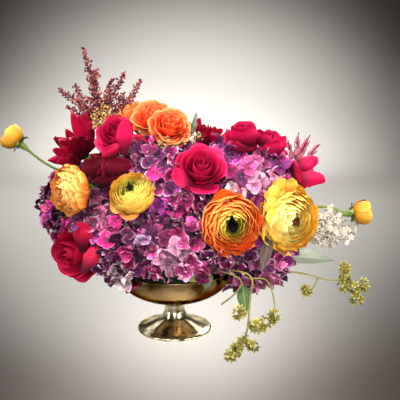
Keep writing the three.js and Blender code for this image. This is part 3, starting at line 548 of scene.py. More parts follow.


# Single outer petals that stand out: root, tip, half width, side, brightness as painted light and
# shade, and lip
OUTER_PETALS = {
    "rose_upper_left": [
        ((-51, -84, 232), (-48, -93, 271), 9, (1, 0.1, 0), 1.15, 1.5),
        ((-60, -84, 230), (-68, -90, 244), 12, (1, 0.3, -0.2), 0.8, 2),
    ],
    "rose_top": [
        ((84, -58, 236), (77, -72, 264), 17, (1, -0.1, -0.12), 0.9, 4),
        ((98, -56, 238), (100, -66, 259), 10, (1, -0.3, -0.3), 0.7, 4),
        ((82, -54, 228), (76, -76, 243), 14, (1, -0.1, -0.1), 0.35, 3),
    ],
    "rose_top_right": [
        ((114, -42, 222), (110, -54, 246), 15, (1, 0.1, -0.2), 0.9, 4),
        ((118, -42, 224), (124, -52, 250), 9, (1, 0.2, -0.1), 1.15, 3),
    ],
    "rose_right": [
        ((138, -42, 208), (165, -44, 222), 9, (0.45, 0, -1), 1.05, 4),
        ((136, -50, 198), (173, -48, 199), 10, (0, 0.1, -1), 1.0, 5),
        ((134, -46, 206), (147, -58, 209), 13, (0.2, 0.1, -1), 0.6, 3),
    ],
    "rose_lower_left": [
        ((-101, -70, 118), (-99, -76, 157), 12, (1, -0.2, 0), 0.95, 3),
        ((-100, -84, 98), (-83, -78, 130), 9, (0.9, -0.2, -0.4), 1.15, 2),
    ],
    "rose_dark": [
        ((-64, -66, 198), (-56, -80, 232), 16, (1, 0.3, -0.1), 0.8, 4),
        ((-82, -68, 202), (-88, -82, 231), 14, (1, 0.2, 0.15), 0.65, 4),
        ((-72, -70, 194), (-70, -88, 212), 16, (1, 0.2, 0), 0.6, 3),
    ],
    "rose_front": [((24, -92, 204), (1, -108, 216), 12, (0.2, 0.9, 0.6), 0.95, 4)],
    "ranunculus_yellow": [
        ((-46, -84, 184), (-44, -102, 165), 14, (1, 0, 0.1), 0.95, 2),
        ((-52, -84, 186), (-62, -100, 173), 10, (0.8, 0, -0.5), 1.0, 2),
    ],
    "ranunculus_orange": [
        ((61, -68, 174), (54, -90, 197), 12, (1, 0, 0.2), 1.0, 3),
        ((70, -68, 172), (70, -88, 194), 10, (1, 0, -0.1), 0.9, 3),
        ((56, -70, 168), (42, -92, 184), 10, (0.6, 0, 0.8), 0.95, 3),
    ],
    "ranunculus_gold": [
        ((126, -64, 184), (115, -86, 209), 10, (1, 0, 0.4), 0.95, 4),
        ((132, -64, 184), (130, -84, 209), 9, (1, 0, 0), 0.85, 4),
        ((122, -66, 178), (102, -90, 197), 10, (0.6, 0, 0.8), 1.0, 4),
        ((122, -66, 170), (99, -92, 181), 10, (0.2, 0, 1), 0.95, 4),
        ((122, -68, 162), (101, -92, 164), 10, (-0.2, 0, 1), 0.9, 4),
    ],
}


def outer_petals(growth, name, colours):
    if name not in OUTER_PETALS:
        return
    for foot, tip, width, side, bright, lip in OUTER_PETALS[name]:
        tint = petal_tint(linear(colours), bright, high=0.55, rim_from=0.88)
        blade(growth, foot, tip, width, side, tint, lip=lip)


SPRAY_COLOURS = {
    "apricot": ((230, 70, 24), (255, 132, 60), (255, 192, 124)),
    "orange": ((206, 22, 12), (255, 90, 40), (255, 178, 108)),
}
SPRAY_UNDERSIDE = linear((176, 92, 46))
SPRAY_PETALS = 21
SKIRT_PETALS = 6


def spray_rose(growth, where, across, depth, colours):
    """A small rose with loose, ruffled petals over a skirt of tan ones."""
    colours = linear(colours)
    r = across / 2
    draw = growth.random
    for k in range(SPRAY_PETALS):
        t = k / (SPRAY_PETALS - 1)
        ring = {
            "foot": (1.4 + 1.8 * t, 3.4 - 2 * t),
            "radius": r * (0.14 + 0.78 * t**0.85),
            "height": depth * (1.0 - 0.16 * t**2) * draw.uniform(0.9, 1.06),
            "span": 84 - 34 * t,
            "curl": 102 - 12 * t,
            "round": 0.16,
            "spiral": 0.05 * r,
            "flare": r * 0.22 * t * draw.uniform(0.5, 1.5),
            "droop": depth * 0.2 * t**2 * draw.uniform(0.2, 1.8),
            "roll": 0.08 * r * t,
            "lip": 0.06 * r * t,
            "ruffle": 0.065 * r,
            "waves": draw.uniform(3, 5.5),
        }
        azimuth = math.degrees(k * GOLDEN_TURN) + draw.uniform(-12, 12)
        tint = petal_tint(colours, draw.uniform(0.88, 1.1), 0.85, 0.3, 0.95, 0.86)
        cup_petal(growth, where, ring, azimuth, tint, 12, 10)
    for k in range(SKIRT_PETALS):
        ring = {
            "foot": (3.0, 1.2), "radius": 0.84 * r, "height": 0.45 * depth, "span": 40,
            "curl": 84, "round": 0.2, "flare": 0.25 * r, "droop": 0.3 * depth, "ruffle": 0.05 * r,
        }
        under = (SPRAY_UNDERSIDE * 0.6, SPRAY_UNDERSIDE, colours[1])
        tint = petal_tint(under, draw.uniform(0.8, 1.1))
        azimuth = 360 / SKIRT_PETALS * k + draw.uniform(-9, 9)
        cup_petal(growth, where, ring, azimuth, tint, 8, 6)


# Each ranunculus: how closely its petals lean in from the middle ring to the outer one, how far
# they stand up, how many there are in those rings, how they ruffle, how round they are at the end
# and how far they overlap, how far a loose side opens, how wide its eye is, how far it is drawn
# out and its colour, the colours of its petals (root, body, rim) from the middle ring to the outer
# one, and those of its single outer petals
# Each root colour is painted shade low in the bloom; each rim is paler, with a painted highlight
RANUNCULUS_LOOKS = {
    "ranunculus_apricot": {
        "curl": (150, 112), "height": (0.98, 0.74), "count": (4, 8), "ruffle": 0.05,
        "round": 0.16, "overlap": 1.3, "loose": 0.0,
        "eye": 0.04, "spike": 0.3, "eye_colour": (236, 136, 66),
        "rings": [
            ((232, 104, 50), (252, 170, 92), (255, 206, 134)),
            ((236, 120, 40), (251, 168, 74), (255, 204, 120)),
            ((220, 96, 36), (246, 152, 60), (250, 186, 100)),
        ],
    },
    "ranunculus_yellow": {
        "curl": (141, 107), "height": (0.93, 0.74), "count": (4, 7), "ruffle": 0.024,
        "round": 0.13, "overlap": 1.35, "loose": 0.0,
        "eye": 0.05, "spike": 0.9, "eye_colour": (10, 14, 4),
        "rings": [
            ((150, 150, 20), (212, 204, 66), (246, 238, 140)),
            ((206, 160, 26), (240, 206, 66), (254, 236, 136)),
            ((206, 116, 18), (246, 186, 54), (254, 206, 104)),
        ],
        "outer": ((206, 96, 26), (250, 166, 86), (255, 206, 146)),
    },
    "ranunculus_orange": {
        "curl": (132, 106), "height": (0.86, 0.76), "count": (4, 6), "ruffle": 0.03,
        "round": 0.12, "overlap": 1.3, "loose": 0.0,
        "eye": 0.09, "spike": 1.7, "eye_colour": (3, 1, 4),
        "rings": [
            ((150, 140, 12), (226, 212, 70), (246, 224, 110)),
            ((232, 44, 12), (254, 112, 40), (255, 190, 100)),
            ((236, 52, 14), (255, 130, 46), (255, 176, 92)),
        ],
        "outer": ((206, 36, 8), (252, 112, 32), (255, 152, 66)),
    },
    "ranunculus_gold": {
        "curl": (146, 108), "height": (0.96, 0.74), "count": (4, 7), "ruffle": 0.024,
        "round": 0.12, "overlap": 1.3, "loose": 1.0,
        "eye": 0.04, "spike": 0.6, "eye_colour": (96, 56, 14),
        "rings": [
            ((254, 196, 54), (255, 232, 122), (255, 246, 180)),
            ((252, 170, 32), (255, 216, 86), (255, 240, 146)),
            ((250, 150, 24), (255, 200, 62), (255, 228, 120)),
        ],
        "outer": ((226, 124, 14), (255, 218, 90), (255, 244, 170)),
    },
}
RANUNCULUS_LOOKS["ranunculus_back"] = RANUNCULUS_LOOKS["ranunculus_orange"]
RANUNCULUS_RINGS = 10
# Which side of a bloom opens loosely, in degrees, and its petals' painted highlight colour
LOOSE_SIDE = 130
LOOSE_SIDE_HIGHLIGHT = linear((255, 240, 150))
CARPELS = 16


def ring_colours(rings, t):
    """The root, body and rim colours at share t, from the middle ring to the outer one."""
    share = t * (len(rings) - 1)
    low = min(int(share), len(rings) - 2)
    return mix(linear(rings[low]), linear(rings[low + 1]), share - low)


def ranunculus(growth, where, across, depth, look):
    """A ranunculus: rings of thin round petals that lean in over a small eye."""
    r = across / 2
    draw = growth.random
    for j in range(RANUNCULUS_RINGS):
        t = j / (RANUNCULUS_RINGS - 1)
        colours = ring_colours(look["rings"], t)
        high, low = look["height"]
        count = round(np.interp(t, [0, 1], look["count"]))
        for k in range(count):
            azimuth = 360 * (k + 0.5 * (j % 2)) / count + 21 * j + draw.uniform(-8, 8)
            loose = look["loose"] * max(0.0, math.cos(math.radians(azimuth - LOOSE_SIDE))) ** 1.5
            ring = {
                "foot": (1.6 + 1.8 * t, 3.6 - 1.8 * t),
                "radius": r * (0.24 + look["eye"] + (0.74 - look["eye"]) * t**0.92),
                "height": depth * (high + (low - high) * t**2) * draw.uniform(0.96, 1.02),
                "span": look["overlap"] * 180 / count,
                "curl": np.interp(t, [0, 1], look["curl"]) - 26 * loose * t,
                "round": look["round"],
                "spiral": 0.04 * r,
                "flare": 0.12 * r * loose * t,
                "ruffle": look["ruffle"] * r * (0.5 + t + 1.6 * loose),
                "waves": draw.uniform(2.5, 5),
                "droop": 0.05 * depth * t**2 * draw.uniform(0, 2),
            }
            bright = draw.uniform(0.88, 1.08)
            # painted highlight: the loose side's petals are painted paler
            side_highlighted = mix(colours, LOOSE_SIDE_HIGHLIGHT, 0.4 * loose)
            # painted shade low on each petal, and a paler rim with a painted highlight
            tint = petal_tint(side_highlighted, bright, 0.85, 0.45, 0.96, 0.88)
            cup_petal(growth, where, ring, azimuth, tint, 10, 11)
    ranunculus_eye(growth, where, r, depth * (look["height"][0] - 0.02), look)


def ranunculus_eye(growth, where, r, top, look):
    """A dark hollow, drawn out to a point at the top, with small carpels at its bottom."""
    eye = linear(look["eye_colour"])
    base = (0.08 + look["eye"]) * r

    def surface(u, v):
        angle = u * math.pi
        drawn = np.exp(-(((angle - math.pi / 2) / 0.26) ** 2))
        reach = base * (1 + 0.12 * np.cos(3 * angle - math.pi / 2) + look["spike"] * drawn)
        x, y = v * reach * np.cos(angle), v * reach * np.sin(angle)
        return np.column_stack([x, y, top - base * (1.1 * (1 - v * v) - 0.9 * drawn * v)])

    growth.sheet(surface, lambda u, v: eye * (1 - 0.5 * v[:, None]), 48, 6, where)
    for k in range(CARPELS):
        reach = 0.6 * base * math.sqrt((k + 0.5) / CARPELS)
        angle = k * GOLDEN_TURN
        foot = (reach * math.cos(angle), reach * math.sin(angle), top - base)
        shade = eye * growth.random.uniform(0.8, 2)
        growth.bead(moved(where, np.array([foot]))[0], 0.14 * base, shade, where[:3, 2], 1.6)


BUD_COLOURS = linear(((206, 120, 30), (232, 164, 48), (248, 200, 96)))
BUD_RINGS = (3, 4, 5, 5)


def ranunculus_bud(growth, where, across, depth):
    """A closed bud of a few rings of petals."""
    r = across / 2
    draw = growth.random
    for j, count in enumerate(BUD_RINGS):
        t = j / (len(BUD_RINGS) - 1)
        for k in range(count):
            ring = {
                "foot": (2.0 + 1.6 * t, 3.0 - 1.2 * t),
                "radius": r * (0.3 + 0.66 * t),
                "height": depth * (1.0 - 0.1 * t) * draw.uniform(0.95, 1.04),
                "span": 1.35 * 180 / count,
                "curl": 126 - 14 * t,
                "round": 0.16,
                "ruffle": 0.03 * r,
                "spiral": 0.05 * r,
            }
            tint = petal_tint(BUD_COLOURS, draw.uniform(0.86, 1.06), edge=0.7)
            cup_petal(growth, where, ring, 360 * k / count + 40 * j, tint, 7, 7)


LILY_COLOURS = linear(((58, 0, 20), (164, 6, 48), (214, 44, 88)))
LILY_STREAK = linear((226, 128, 132))
SHORT_TEPALS = 12
# The tepals of each lily that show: tip, half width, brightness as painted light and shade on each
# tepal
LILY_TEPALS = {
    "lily_left": [
        ((-116, -18, 273), 6.5, 1.2), ((-107, -30, 270), 5.5, 1.3), ((-102, -8, 270), 6.5, 0.9),
        ((-96, -5, 259), 5.5, 0.7), ((-123, -25, 253), 6, 1.0), ((-129, -40, 242), 6, 1.25),
        ((-136, -45, 231), 6.5, 1.2), ((-142, -40, 219), 6, 0.9), ((-130, -52, 218), 5.5, 0.7),
        ((-118, -58, 224), 5, 0.6), ((-109, -50, 221), 5, 0.5), ((-123, -55, 235), 6.5, 1.1),
        ((-114, -52, 246), 7, 1.0), ((-104, -45, 243), 7, 0.7), ((-96, -35, 243), 6, 0.5),
        ((-92, -20, 253), 6, 0.5), ((-88, -30, 238), 5.5, 0.4),
    ],
    "lily_top": [
        ((30, -25, 266), 4.5, 1.0), ((35, -30, 259), 5, 0.8), ((25, -25, 256), 4, 0.7),
        ((42, -30, 256), 6, 1.1), ((50, -22, 255), 6, 1.0), ((57, -20, 252), 6, 1.1),
        ((64, -25, 248), 5.5, 0.9), ((27, -32, 246), 5, 0.6), ((37, -40, 248), 6, 0.9),
        ((46, -38, 248), 6, 1.1), ((54, -35, 243), 6, 0.8),
    ],
}


def lily(growth, name, where, across, depth):
    """Pointed tepals in a loose tuft: the ones that show, and shorter ones all round."""
    root, body, rim = LILY_COLOURS
    draw = growth.random
    foot, way = where[:3, 3], where[:3, 2]
    tips = [(xyz(tip), width, bright) for tip, width, bright in LILY_TEPALS[name]]
    for k in range(SHORT_TEPALS):
        lean = heading(GOLDEN_DEGREES * k, 20)
        tip = foot + way * depth * draw.uniform(0.6, 0.8) + lean * across * draw.uniform(0.2, 0.36)
        tips.append((tip, across * 0.07, draw.uniform(0.5, 0.9)))
    for tip, width, bright in tips:
        start = foot + way * 2 + draw.normal(0, 1.2, 3)
        side = np.cross(tip - start, (0.2, -1, 0.3)) + draw.normal(0, 6, 3)
        tone = LILY_STREAK if draw.uniform() < 0.25 else rim
        tint = petal_tint((root, body, tone), bright, edge=0.75, high=0.5, rim_from=0.7)
        blunt = draw.uniform() < 0.4
        blade(growth, start, tip, width, side, tint, arch=-3, cup=2.5, lip=2, blunt=blunt)


# The blooms: name, kind, colour, middle of the open face, where it looks (azimuth, elevation),
# width, depth, roll
BLOOMS = [
    ("rose_front", "rose", "magenta", (34, -98, 229), (6, 38), 64, 40, 10),
    ("rose_upper_left", "rose", "magenta", (-65, -84, 262), (-14, 32), 48, 38, 40),
    # rose_dark takes the shaded crimson: painted shade on a rose that lies in shade
    ("rose_dark", "rose", "burgundy", (-92, -70, 217), (-56, 6), 46, 36, 80),
    ("rose_lower_left", "rose", "crimson", (-125, -58, 107), (-36, -4), 76, 46, 5),
    ("rose_top", "rose", "magenta", (82, -52, 262), (10, 62), 46, 38, 20),
    ("rose_top_right", "rose", "magenta", (120, -25, 245), (46, 46), 46, 36, 60),
    ("rose_right", "rose", "magenta", (163, -26, 204), (72, 22), 50, 42, 30),
    ("rose_back_left", "rose", "crimson", (-58, 92, 222), (-150, 36), 62, 40, 15),
    ("rose_back_right", "rose", "magenta", (104, 72, 204), (130, 24), 62, 42, 50),
    ("lily_left", "lily", "crimson", (-128, -30, 244), (-50, 38), 72, 44, 12),
    ("lily_top", "lily", "crimson", (38, -30, 262), (-6, 74), 26, 32, 30),
    ("ranunculus_apricot", "ranunculus", "apricot", (-126, -78, 191), (-44, 6), 57, 36, 0),
    ("ranunculus_yellow", "ranunculus", "yellow", (-44, -110, 204), (-12, 42), 50, 36, 20),
    ("ranunculus_orange", "ranunculus", "orange", (68, -116, 159), (8, 4), 68, 38, 10),
    ("ranunculus_gold", "ranunculus", "gold", (140, -80, 156), (30, 4), 80, 42, 35),
    ("ranunculus_back", "ranunculus", "orange", (-10, 112, 160), (184, 8), 60, 38, 0),
    ("bud_left", "bud", "amber", (-207, 37, 240), (-96, 38), 33, 24, 0),
    ("bud_right", "bud", "amber", (236, -6, 150), (93, 4), 31, 24, 0),
]
SPRAY_BLOOMS = [
    ("spray_rose_left", "spray", "apricot", (-58, 8, 273), (-40, 56), 34, 26, 0),
    ("spray_rose_middle", "spray", "orange", (-25, -18, 276), (-6, 54), 44, 28, 25),
    ("spray_rose_right", "spray", "orange", (1, -60, 269), (14, 44), 42, 28, 55),
]
SPRAY_JOINT = (-24.0, -16.0, 236.0)
# Where the stems of the far buds pass on their way in
LONG_ROUTES = {
    "bud_left": [(-158, 35, 201), (-112, 28, 176)],
    "bud_right": [(176, -6, 156), (120, -4, 146)],
}
STEM_RADIUS = {"rose": 2.2, "lily": 2.0, "ranunculus": 1.7, "bud": 1.7, "spray": 1.4}
# Under each bloom: how many sepals, how far out they reach and how far they drop
SEPALS = {
    "rose": (5, 13, 9), "lily": (3, 6, 2), "ranunculus": (5, 12, 5), "bud": (5, 13, 1),
    "spray": (5, 9, 5),
}
SEPAL_ROOT = 2.4
# How far under a bloom its stem starts, how far it stays straight, and from the foam's middle
# where it meets the foam and where it ends
CALYX_DEPTH = 4.5
STRAIGHT_STEM = 14
FOAM_ENTRY = 52
STEM_END = 26


def bloom_frame(bloom):
    _, _, _, face, looks, _, depth, roll = bloom
    direction = heading(*looks)
    return frame_at(xyz(face) - direction * depth, direction, roll)


def build_bloom(seed, bloom):
    name, kind, colour, _, _, across, depth, _ = bloom
    growth = Growth(seed)
    where = bloom_frame(bloom)
    if kind == "rose":
        rose(growth, where, across, depth, ROSE_COLOURS[colour])
        outer_petals(growth, name, ROSE_COLOURS[colour])
    elif kind == "spray":
        spray_rose(growth, where, across, depth, SPRAY_COLOURS[colour])
    elif kind == "ranunculus":
        ranunculus(growth, where, across, depth, RANUNCULUS_LOOKS[name])
        outer_petals(growth, name, RANUNCULUS_LOOKS[name].get("outer"))
    elif kind == "bud":
        ranunculus_bud(growth, where, across, depth)
    else:
        lily(growth, name, where, across, depth)
    material = ROSE_PETAL if kind in ("rose", "spray") else SATIN_PETAL
    growth.piece(f"{name}_petals", material, name)


GREEN = linear((116, 138, 60))
DARK_GREEN = linear((58, 76, 34))
CALYX = (DARK_GREEN, GREEN, linear((168, 168, 96)))


def sepals(growth, where, kind):
    """The green cup under a bloom and its pointed sepals."""
    count, reach, drop = SEPALS[kind]
    draw = growth.random
    for k in range(count):
        side = 2 * math.pi * k / count + draw.uniform(-0.2, 0.2)
        lift = draw.uniform(-2, 3)

        def surface(u, v):
            width = 0.34 * reach * np.sin(math.pi * np.clip(v, 0.02, 0.98) ** 0.7) * u
            r = SEPAL_ROOT + (reach - SEPAL_ROOT) * np.sin(v * math.pi / 2)
            z = 0.2 + 2.2 * np.sin(math.pi * v) - (drop - lift) * v**2.2 - 0.8 * u * u
            return fanned(side, r, width, z)

        tint = petal_tint(CALYX, draw.uniform(0.8, 1.1))
        growth.sheet(surface, tint, 4, 6, where)
    cup = spline([(0, 0, 0.4), (0, 0, -4), (0, 0, -8), (0, 0, -13)], 3)
    radii = np.interp(np.linspace(0, 1, len(cup)), [0, 0.35, 0.7, 1], [4.2, 4.4, 3, 1.8])
    growth.tube(moved(where, cup), radii, GREEN, sides=10)


def toward_foam(point, reach):
    """The point at that reach from the foam's middle, on the way to another point."""
    return FOAM_MIDDLE + reach * unit(xyz(point) - FOAM_MIDDLE)


def stem_line(start, direction, via=()):
    """A stem's line from a bloom into the foam."""
    last = via[-1] if via else start
    handle = [] if via else [start - direction * STRAIGHT_STEM]
    ends = [toward_foam(last, FOAM_ENTRY), toward_foam(last, STEM_END)]
    return spline([start, *handle, *via, *ends], 7)


def stem_start(where):
    return where[:3, 3] - where[:3, 2] * CALYX_DEPTH


def build_stem(seed, bloom):
    name, kind = bloom[:2]
    growth = Growth(seed)
    where = bloom_frame(bloom)
    sepals(growth, where, kind)
    line = stem_line(stem_start(where), where[:3, 2], LONG_ROUTES.get(name, ()))
    growth.tube(line, STEM_RADIUS[kind], mix(GREEN, DARK_GREEN, np.linspace(0, 1, len(line))))
    growth.piece(f"{name}_stalk", STALK, f"{name}_stem")


def pointed_leaf(growth, root, tip, width, side, colours, arch=3.0, fold=1.5, wave=0.4):
    """A pointed leaf with a folded midrib."""
    root, along, across, up = petal_axes(root, tip, side)

    def surface(u, v):
        half = (0.5 + width * np.sin(math.pi * v**0.85)) * u
        lift = arch * np.sin(math.pi * v) + fold * np.abs(u) ** 1.3 * np.sin(math.pi * v) ** 0.5
        lift = lift + wave * np.sin(9 * v + 2 * u)
        return root + v[:, None] * along + half[:, None] * across + lift[:, None] * up

    shade, body, rib = linear(colours)

    def tint(u, v):
        colour = mix(shade, body, smooth(0.0, 0.5, v))
        ribs = np.exp(-((u / 0.09) ** 2)) + 0.35 * (np.sin(26 * v - 7 * np.abs(u)) > 0.7)
        return mix(colour, rib, np.clip(ribs, 0, 1) * 0.6)

    growth.sheet(surface, tint, 12, 24)


LEAF_DARK = ((40, 56, 30), (84, 104, 62), (130, 146, 96))
LEAF_PALE = ((146, 160, 132), (188, 198, 174), (220, 224, 204))
LEAF_GREY = ((40, 52, 38), (88, 102, 80), (122, 134, 108))
LEAF_TAUPE = ((26, 18, 18), (84, 66, 58), (116, 98, 88))
LEAF_LIME = ((120, 130, 50), (176, 182, 92), (210, 212, 140))


def build_spray_stem():
    growth = Growth(seed=300)
    joint = xyz(SPRAY_JOINT)
    for bloom in SPRAY_BLOOMS:
        where = bloom_frame(bloom)
        sepals(growth, where, "spray")
        start = stem_start(where)
        line = spline([start, start - where[:3, 2] * 7, mix(start, joint, 0.6), joint], 6)
        growth.tube(line, 1.5, GREEN)
    main = stem_line(joint, xyz((-0.1, -0.1, 1.0)))
    growth.tube(main, 2.1, mix(GREEN, DARK_GREEN, 0.5))
    twig = spline([(-7, -34, 244), (8, -33, 246), (21, -28, 244)], 4)
    growth.tube(twig, 0.9, GREEN)
    pointed_leaf(growth, twig[-1], (27.5, -14, 270), 2.8, (1, 0.2, -0.2), LEAF_GREY)
    pointed_leaf(growth, twig[-1], (17, -24, 262), 6, (1, 0.2, 0.2), LEAF_GREY)
    growth.piece("spray_rose_stalks", STALK, "spray_rose_stem")


# Hydrangea heads

SEPAL_COLOURS = {
    "magenta": (186, 30, 108),
    "pink": (210, 74, 142),
    "pale": (236, 160, 192),
    "violet": (136, 44, 118),
    "purple": (96, 18, 74),
    "plum": (58, 10, 46),
    "grey": (140, 116, 150),
    "dusty": (184, 90, 130),
    "cream": (244, 208, 210),
}
# Each head: middle, radius, seed and how often each colour comes
HEADS = {
    "hydrangea_left": (
        (-103, -24, 160), 50, 11, {"purple": 5, "plum": 4, "magenta": 2, "violet": 2}
    ),
    "hydrangea_centre": (
        (-44, -50, 127), 53, 23, {"magenta": 3, "purple": 5, "plum": 3, "violet": 2, "dusty": 1}
    ),
    "hydrangea_middle": (
        (18, -58, 124), 52, 31, {"magenta": 4, "purple": 4, "plum": 2, "pink": 2, "dusty": 1}
    ),
    "hydrangea_top": ((-8, -42, 194), 50, 37, {"violet": 3, "magenta": 3, "purple": 5, "plum": 1}),
    "hydrangea_upper_right": (
        (84, -22, 196), 52, 41, {"magenta": 4, "pink": 3, "dusty": 2, "violet": 3, "purple": 3}
    ),
    "hydrangea_lower_right": (
        (90, -34, 116), 52, 59, {"purple": 4, "plum": 3, "violet": 2, "magenta": 2, "dusty": 2}
    ),
    "hydrangea_back_left": (
        (-54, 38, 162), 60, 67, {"magenta": 3, "purple": 4, "violet": 2, "pink": 1}
    ),
    "hydrangea_back_right": (
        (54, 42, 150), 60, 71, {"magenta": 3, "purple": 3, "dusty": 2, "plum": 1}
    ),
}
# Where one colour gathers on the heads: its middle, how far it reaches, and the colour
PATCHES = [
    ((0, -104, 116), 24, "pale"),
    ((22, -108, 112), 16, "pink"),
    ((-53, -92, 92), 17, "cream"),
    ((-77, -70, 165), 22, "dusty"),
    ((37, -88, 192), 15, "grey"),
    ((-29, -104, 143), 12, "grey"),
    ((101, -66, 202), 15, "pale"),
    ((70, -78, 188), 11, "cream"),
    ((45, -60, 232), 28, "violet"),
    ((92, -84, 112), 18, "plum"),
    ((118, -66, 84), 22, "dusty"),
]
HEAD_OVERLAP = 9
FLORET_SIZE = 10.6
FLORET_SEPALS = 4
FLORET_PALE = linear((255, 210, 224))
FLORET_EYE = linear((214, 180, 196))
FLORET_STALK = linear((120, 88, 92))
# A near-black ball inside each head, painted shade that shows through the gaps between florets
PAINTED_SHADE_CORE = linear((28, 12, 24))
# The florets of a head, outer layer and inner layer: how many, how far out as a share of the
# head's radius, their size and their brightness, low for the inner layer as painted shade
FLORET_LAYERS = [(225, 0.98, FLORET_SIZE, 1.0), (90, 0.78, 1.15 * FLORET_SIZE, 0.3)]
# How far round a head its florets go, as the cosine of the angle from its outer side
HEAD_BACK = -0.45
# Hollows between the florets: middle and radius
HOLLOWS = [
    ((-106, -86, 118), 19), ((-90, -88, 104), 12), ((-40, -72, 241), 9), ((22, -98, 196), 8),
    ((90, -84, 190), 9), ((-30, -108, 140), 8), ((-100, -80, 142), 15), ((-86, -78, 118), 14),
]
# A bloom's room: along its axis, in depths, how wide it is beside the bloom's own radius
ROOM_RISE = np.array([-0.35, 0.0, 0.5, 1.0, 1.9])
ROOM_SHARE = np.array([0.2, 0.4, 0.92, 1.0, 0.75])
# How far florets stay off the rim, to the side and above it, above its bare front from one X
# to another, and off the foam's side
RIM_ASIDE, RIM_ABOVE = 6, 5
FRONT_ABOVE, FRONT_LEFT, FRONT_RIGHT = 15, -46, 64
FOAM_ASIDE = 2


def bloom_rooms():
    """Each bloom's foot, the way it looks, its depth and its radius."""
    rooms = []
    for bloom in BLOOMS + SPRAY_BLOOMS:
        where = bloom_frame(bloom)
        across, depth = bloom[5:7]
        rooms.append((where[:3, 3], where[:3, 2], depth, across / 2))
    return rooms


def taken(point, size, rooms):
    """True where a floret would stand in a bloom, a hollow, the bowl or the foam."""
    if any(np.linalg.norm(point - middle) < radius for middle, radius in HOLLOWS):
        return True
    for foot, way, depth, radius in rooms:
        rise = np.dot(point - foot, way)
        if not ROOM_RISE[0] * depth < rise < ROOM_RISE[-1] * depth:
            continue
        aside = np.linalg.norm(point - foot - rise * way)
        if aside < radius * np.interp(rise, ROOM_RISE * depth, ROOM_SHARE) + 0.35 * size:
            return True
    x, y, z = point
    aside = math.hypot(x, y)
    in_bowl = aside < RIM_RADIUS + RIM_ASIDE and z < RIM_HEIGHT + RIM_ABOVE
    before_bowl = y < 0 and FRONT_LEFT < x < FRONT_RIGHT and z < RIM_HEIGHT + FRONT_ABOVE
    in_foam = aside < FOAM_RADIUS + FOAM_ASIDE and z < FOAM_TOP
    return in_bowl or before_bowl or in_foam


def in_other_head(point, name, reach):
    return any(
        other != name and np.linalg.norm(point - xyz(middle)) < reach * (radius - HEAD_OVERLAP)
        for other, (middle, radius, _, _) in HEADS.items()
    )


def floret(growth, where, size, colours, dark):
    """Four broad rounded sepals round a small eye."""
    draw = growth.random
    # dark darkens the whole floret and its stalk: painted shade for the inner layer
    body, other = (linear(SEPAL_COLOURS[c]) * dark for c in colours)
    pale = mix(body, FLORET_PALE, draw.uniform(0.1, 1) ** 2)
    for k in range(FLORET_SEPALS):
        side = math.pi / 2 * k + draw.uniform(-0.2, 0.2)
        length = size * draw.uniform(0.8, 1.1)
        broad = 0.58 * size * draw.uniform(0.85, 1.1)
        cup, phase, tilt = draw.uniform(-0.35, 0.6), draw.uniform(0, 6), 0.06 * (k % 2)
        fold = draw.uniform(-0.5, 0.25)

        def surface(u, v):
            along = length * (0.06 + 0.94 * v)
            width = broad * np.sin(math.pi * np.clip(v, 0.015, 0.985) ** 0.8) ** 0.62 * u
            z = tilt + cup * v * v + fold * u * u * v + 0.13 * np.sin(5 * u + 3 * v + phase) * v
            return fanned(side, along, width, size * z)

        own = mix(body, other, draw.uniform(0, 0.6))
        # painted shade: each sepal darkens towards its root at the floret's eye
        tint = petal_tint((own * 0.3, own, pale), draw.uniform(0.55, 1.5), 0.9, 0, 0.6, 0.76)
        growth.sheet(surface, tint, 6, 6, where)
    eye = moved(where, np.array([[0, 0, 0.06 * size]]))[0]
    tint = mix(body, FLORET_EYE, 0.25)
    growth.bead(eye, 0.08 * size, tint, where[:3, 2], sides=5, rows=3)


def head_florets(growth, name, layer, rooms):
    """One layer of a head's florets, but none where something else stands."""
    count, reach, size, dark = layer
    middle, radius, seed, palette = HEADS[name]
    middle = xyz(middle)
    out = unit(middle - MASS_MIDDLE)
    draw = growth.random
    odds = xyz(list(palette.values()))
    for i in range(count):
        z = 1 - (2 * i + 1) / count
        flat = math.sqrt(1 - z * z)
        turn = GOLDEN_TURN * i + seed
        away = xyz((flat * math.cos(turn), flat * math.sin(turn), z))
        away = unit(away + draw.normal(0, 0.05, 3))
        colours = [str(c) for c in draw.choice(list(palette), 2, p=odds / odds.sum())]
        floret_size = size * draw.uniform(0.85, 1.12)
        face = middle + away * radius * reach * draw.uniform(0.9, 1.06)
        for spot, extent, patch in PATCHES:
            if np.linalg.norm(face - spot) < extent:
                colours[0] = patch
        tilted = unit(away + draw.normal(0, 0.42, 3))
        roll, bright = draw.uniform(0, 90), draw.uniform(0.45, 1.5)
        if np.dot(away, out) < HEAD_BACK or taken(face, floret_size, rooms):
            continue
        if in_other_head(face, name, reach):
            continue
        floret(growth, frame_at(face, tilted, roll), floret_size, colours, dark * bright)
        stalk = spline([face, mix(face, middle, 0.25), mix(face, middle, 0.5)], 2)
        growth.tube(stalk, 0.7, FLORET_STALK * dark, sides=4)


def build_head(seed, name, rooms):
    growth = Growth(seed)
    middle, radius, _, _ = HEADS[name]
    middle = xyz(middle)
    for layer in FLORET_LAYERS:
        head_florets(growth, name, layer, rooms)
    core = middle + 3 * unit(middle - MASS_MIDDLE)
    # painted shade: a near-black ball fills the head's inside
    growth.bead(core, 0.5 * radius, PAINTED_SHADE_CORE, sides=14, rows=10)
    stem = spline([middle, mix(middle, FOAM_MIDDLE, 0.5), toward_foam(middle, STEM_END)], 5)
    growth.tube(stem, 3.0, DARK_GREEN)
    growth.piece(f"{name}_florets", SEPAL, name)


# Filler sprays

PLUME = ((72, 28, 38), (118, 54, 62), (148, 76, 80), (184, 108, 96))
TAN = ((140, 94, 44), (190, 146, 82), (220, 182, 116))
SEED = ((150, 126, 104), (206, 192, 168), (234, 226, 208), (112, 78, 74))


GRAIN_GAP = 1.7


def hair(growth, start, end, radius, tint):
    growth.tube([start, mix(start, end, 0.5), end], radius, tint, sides=3)


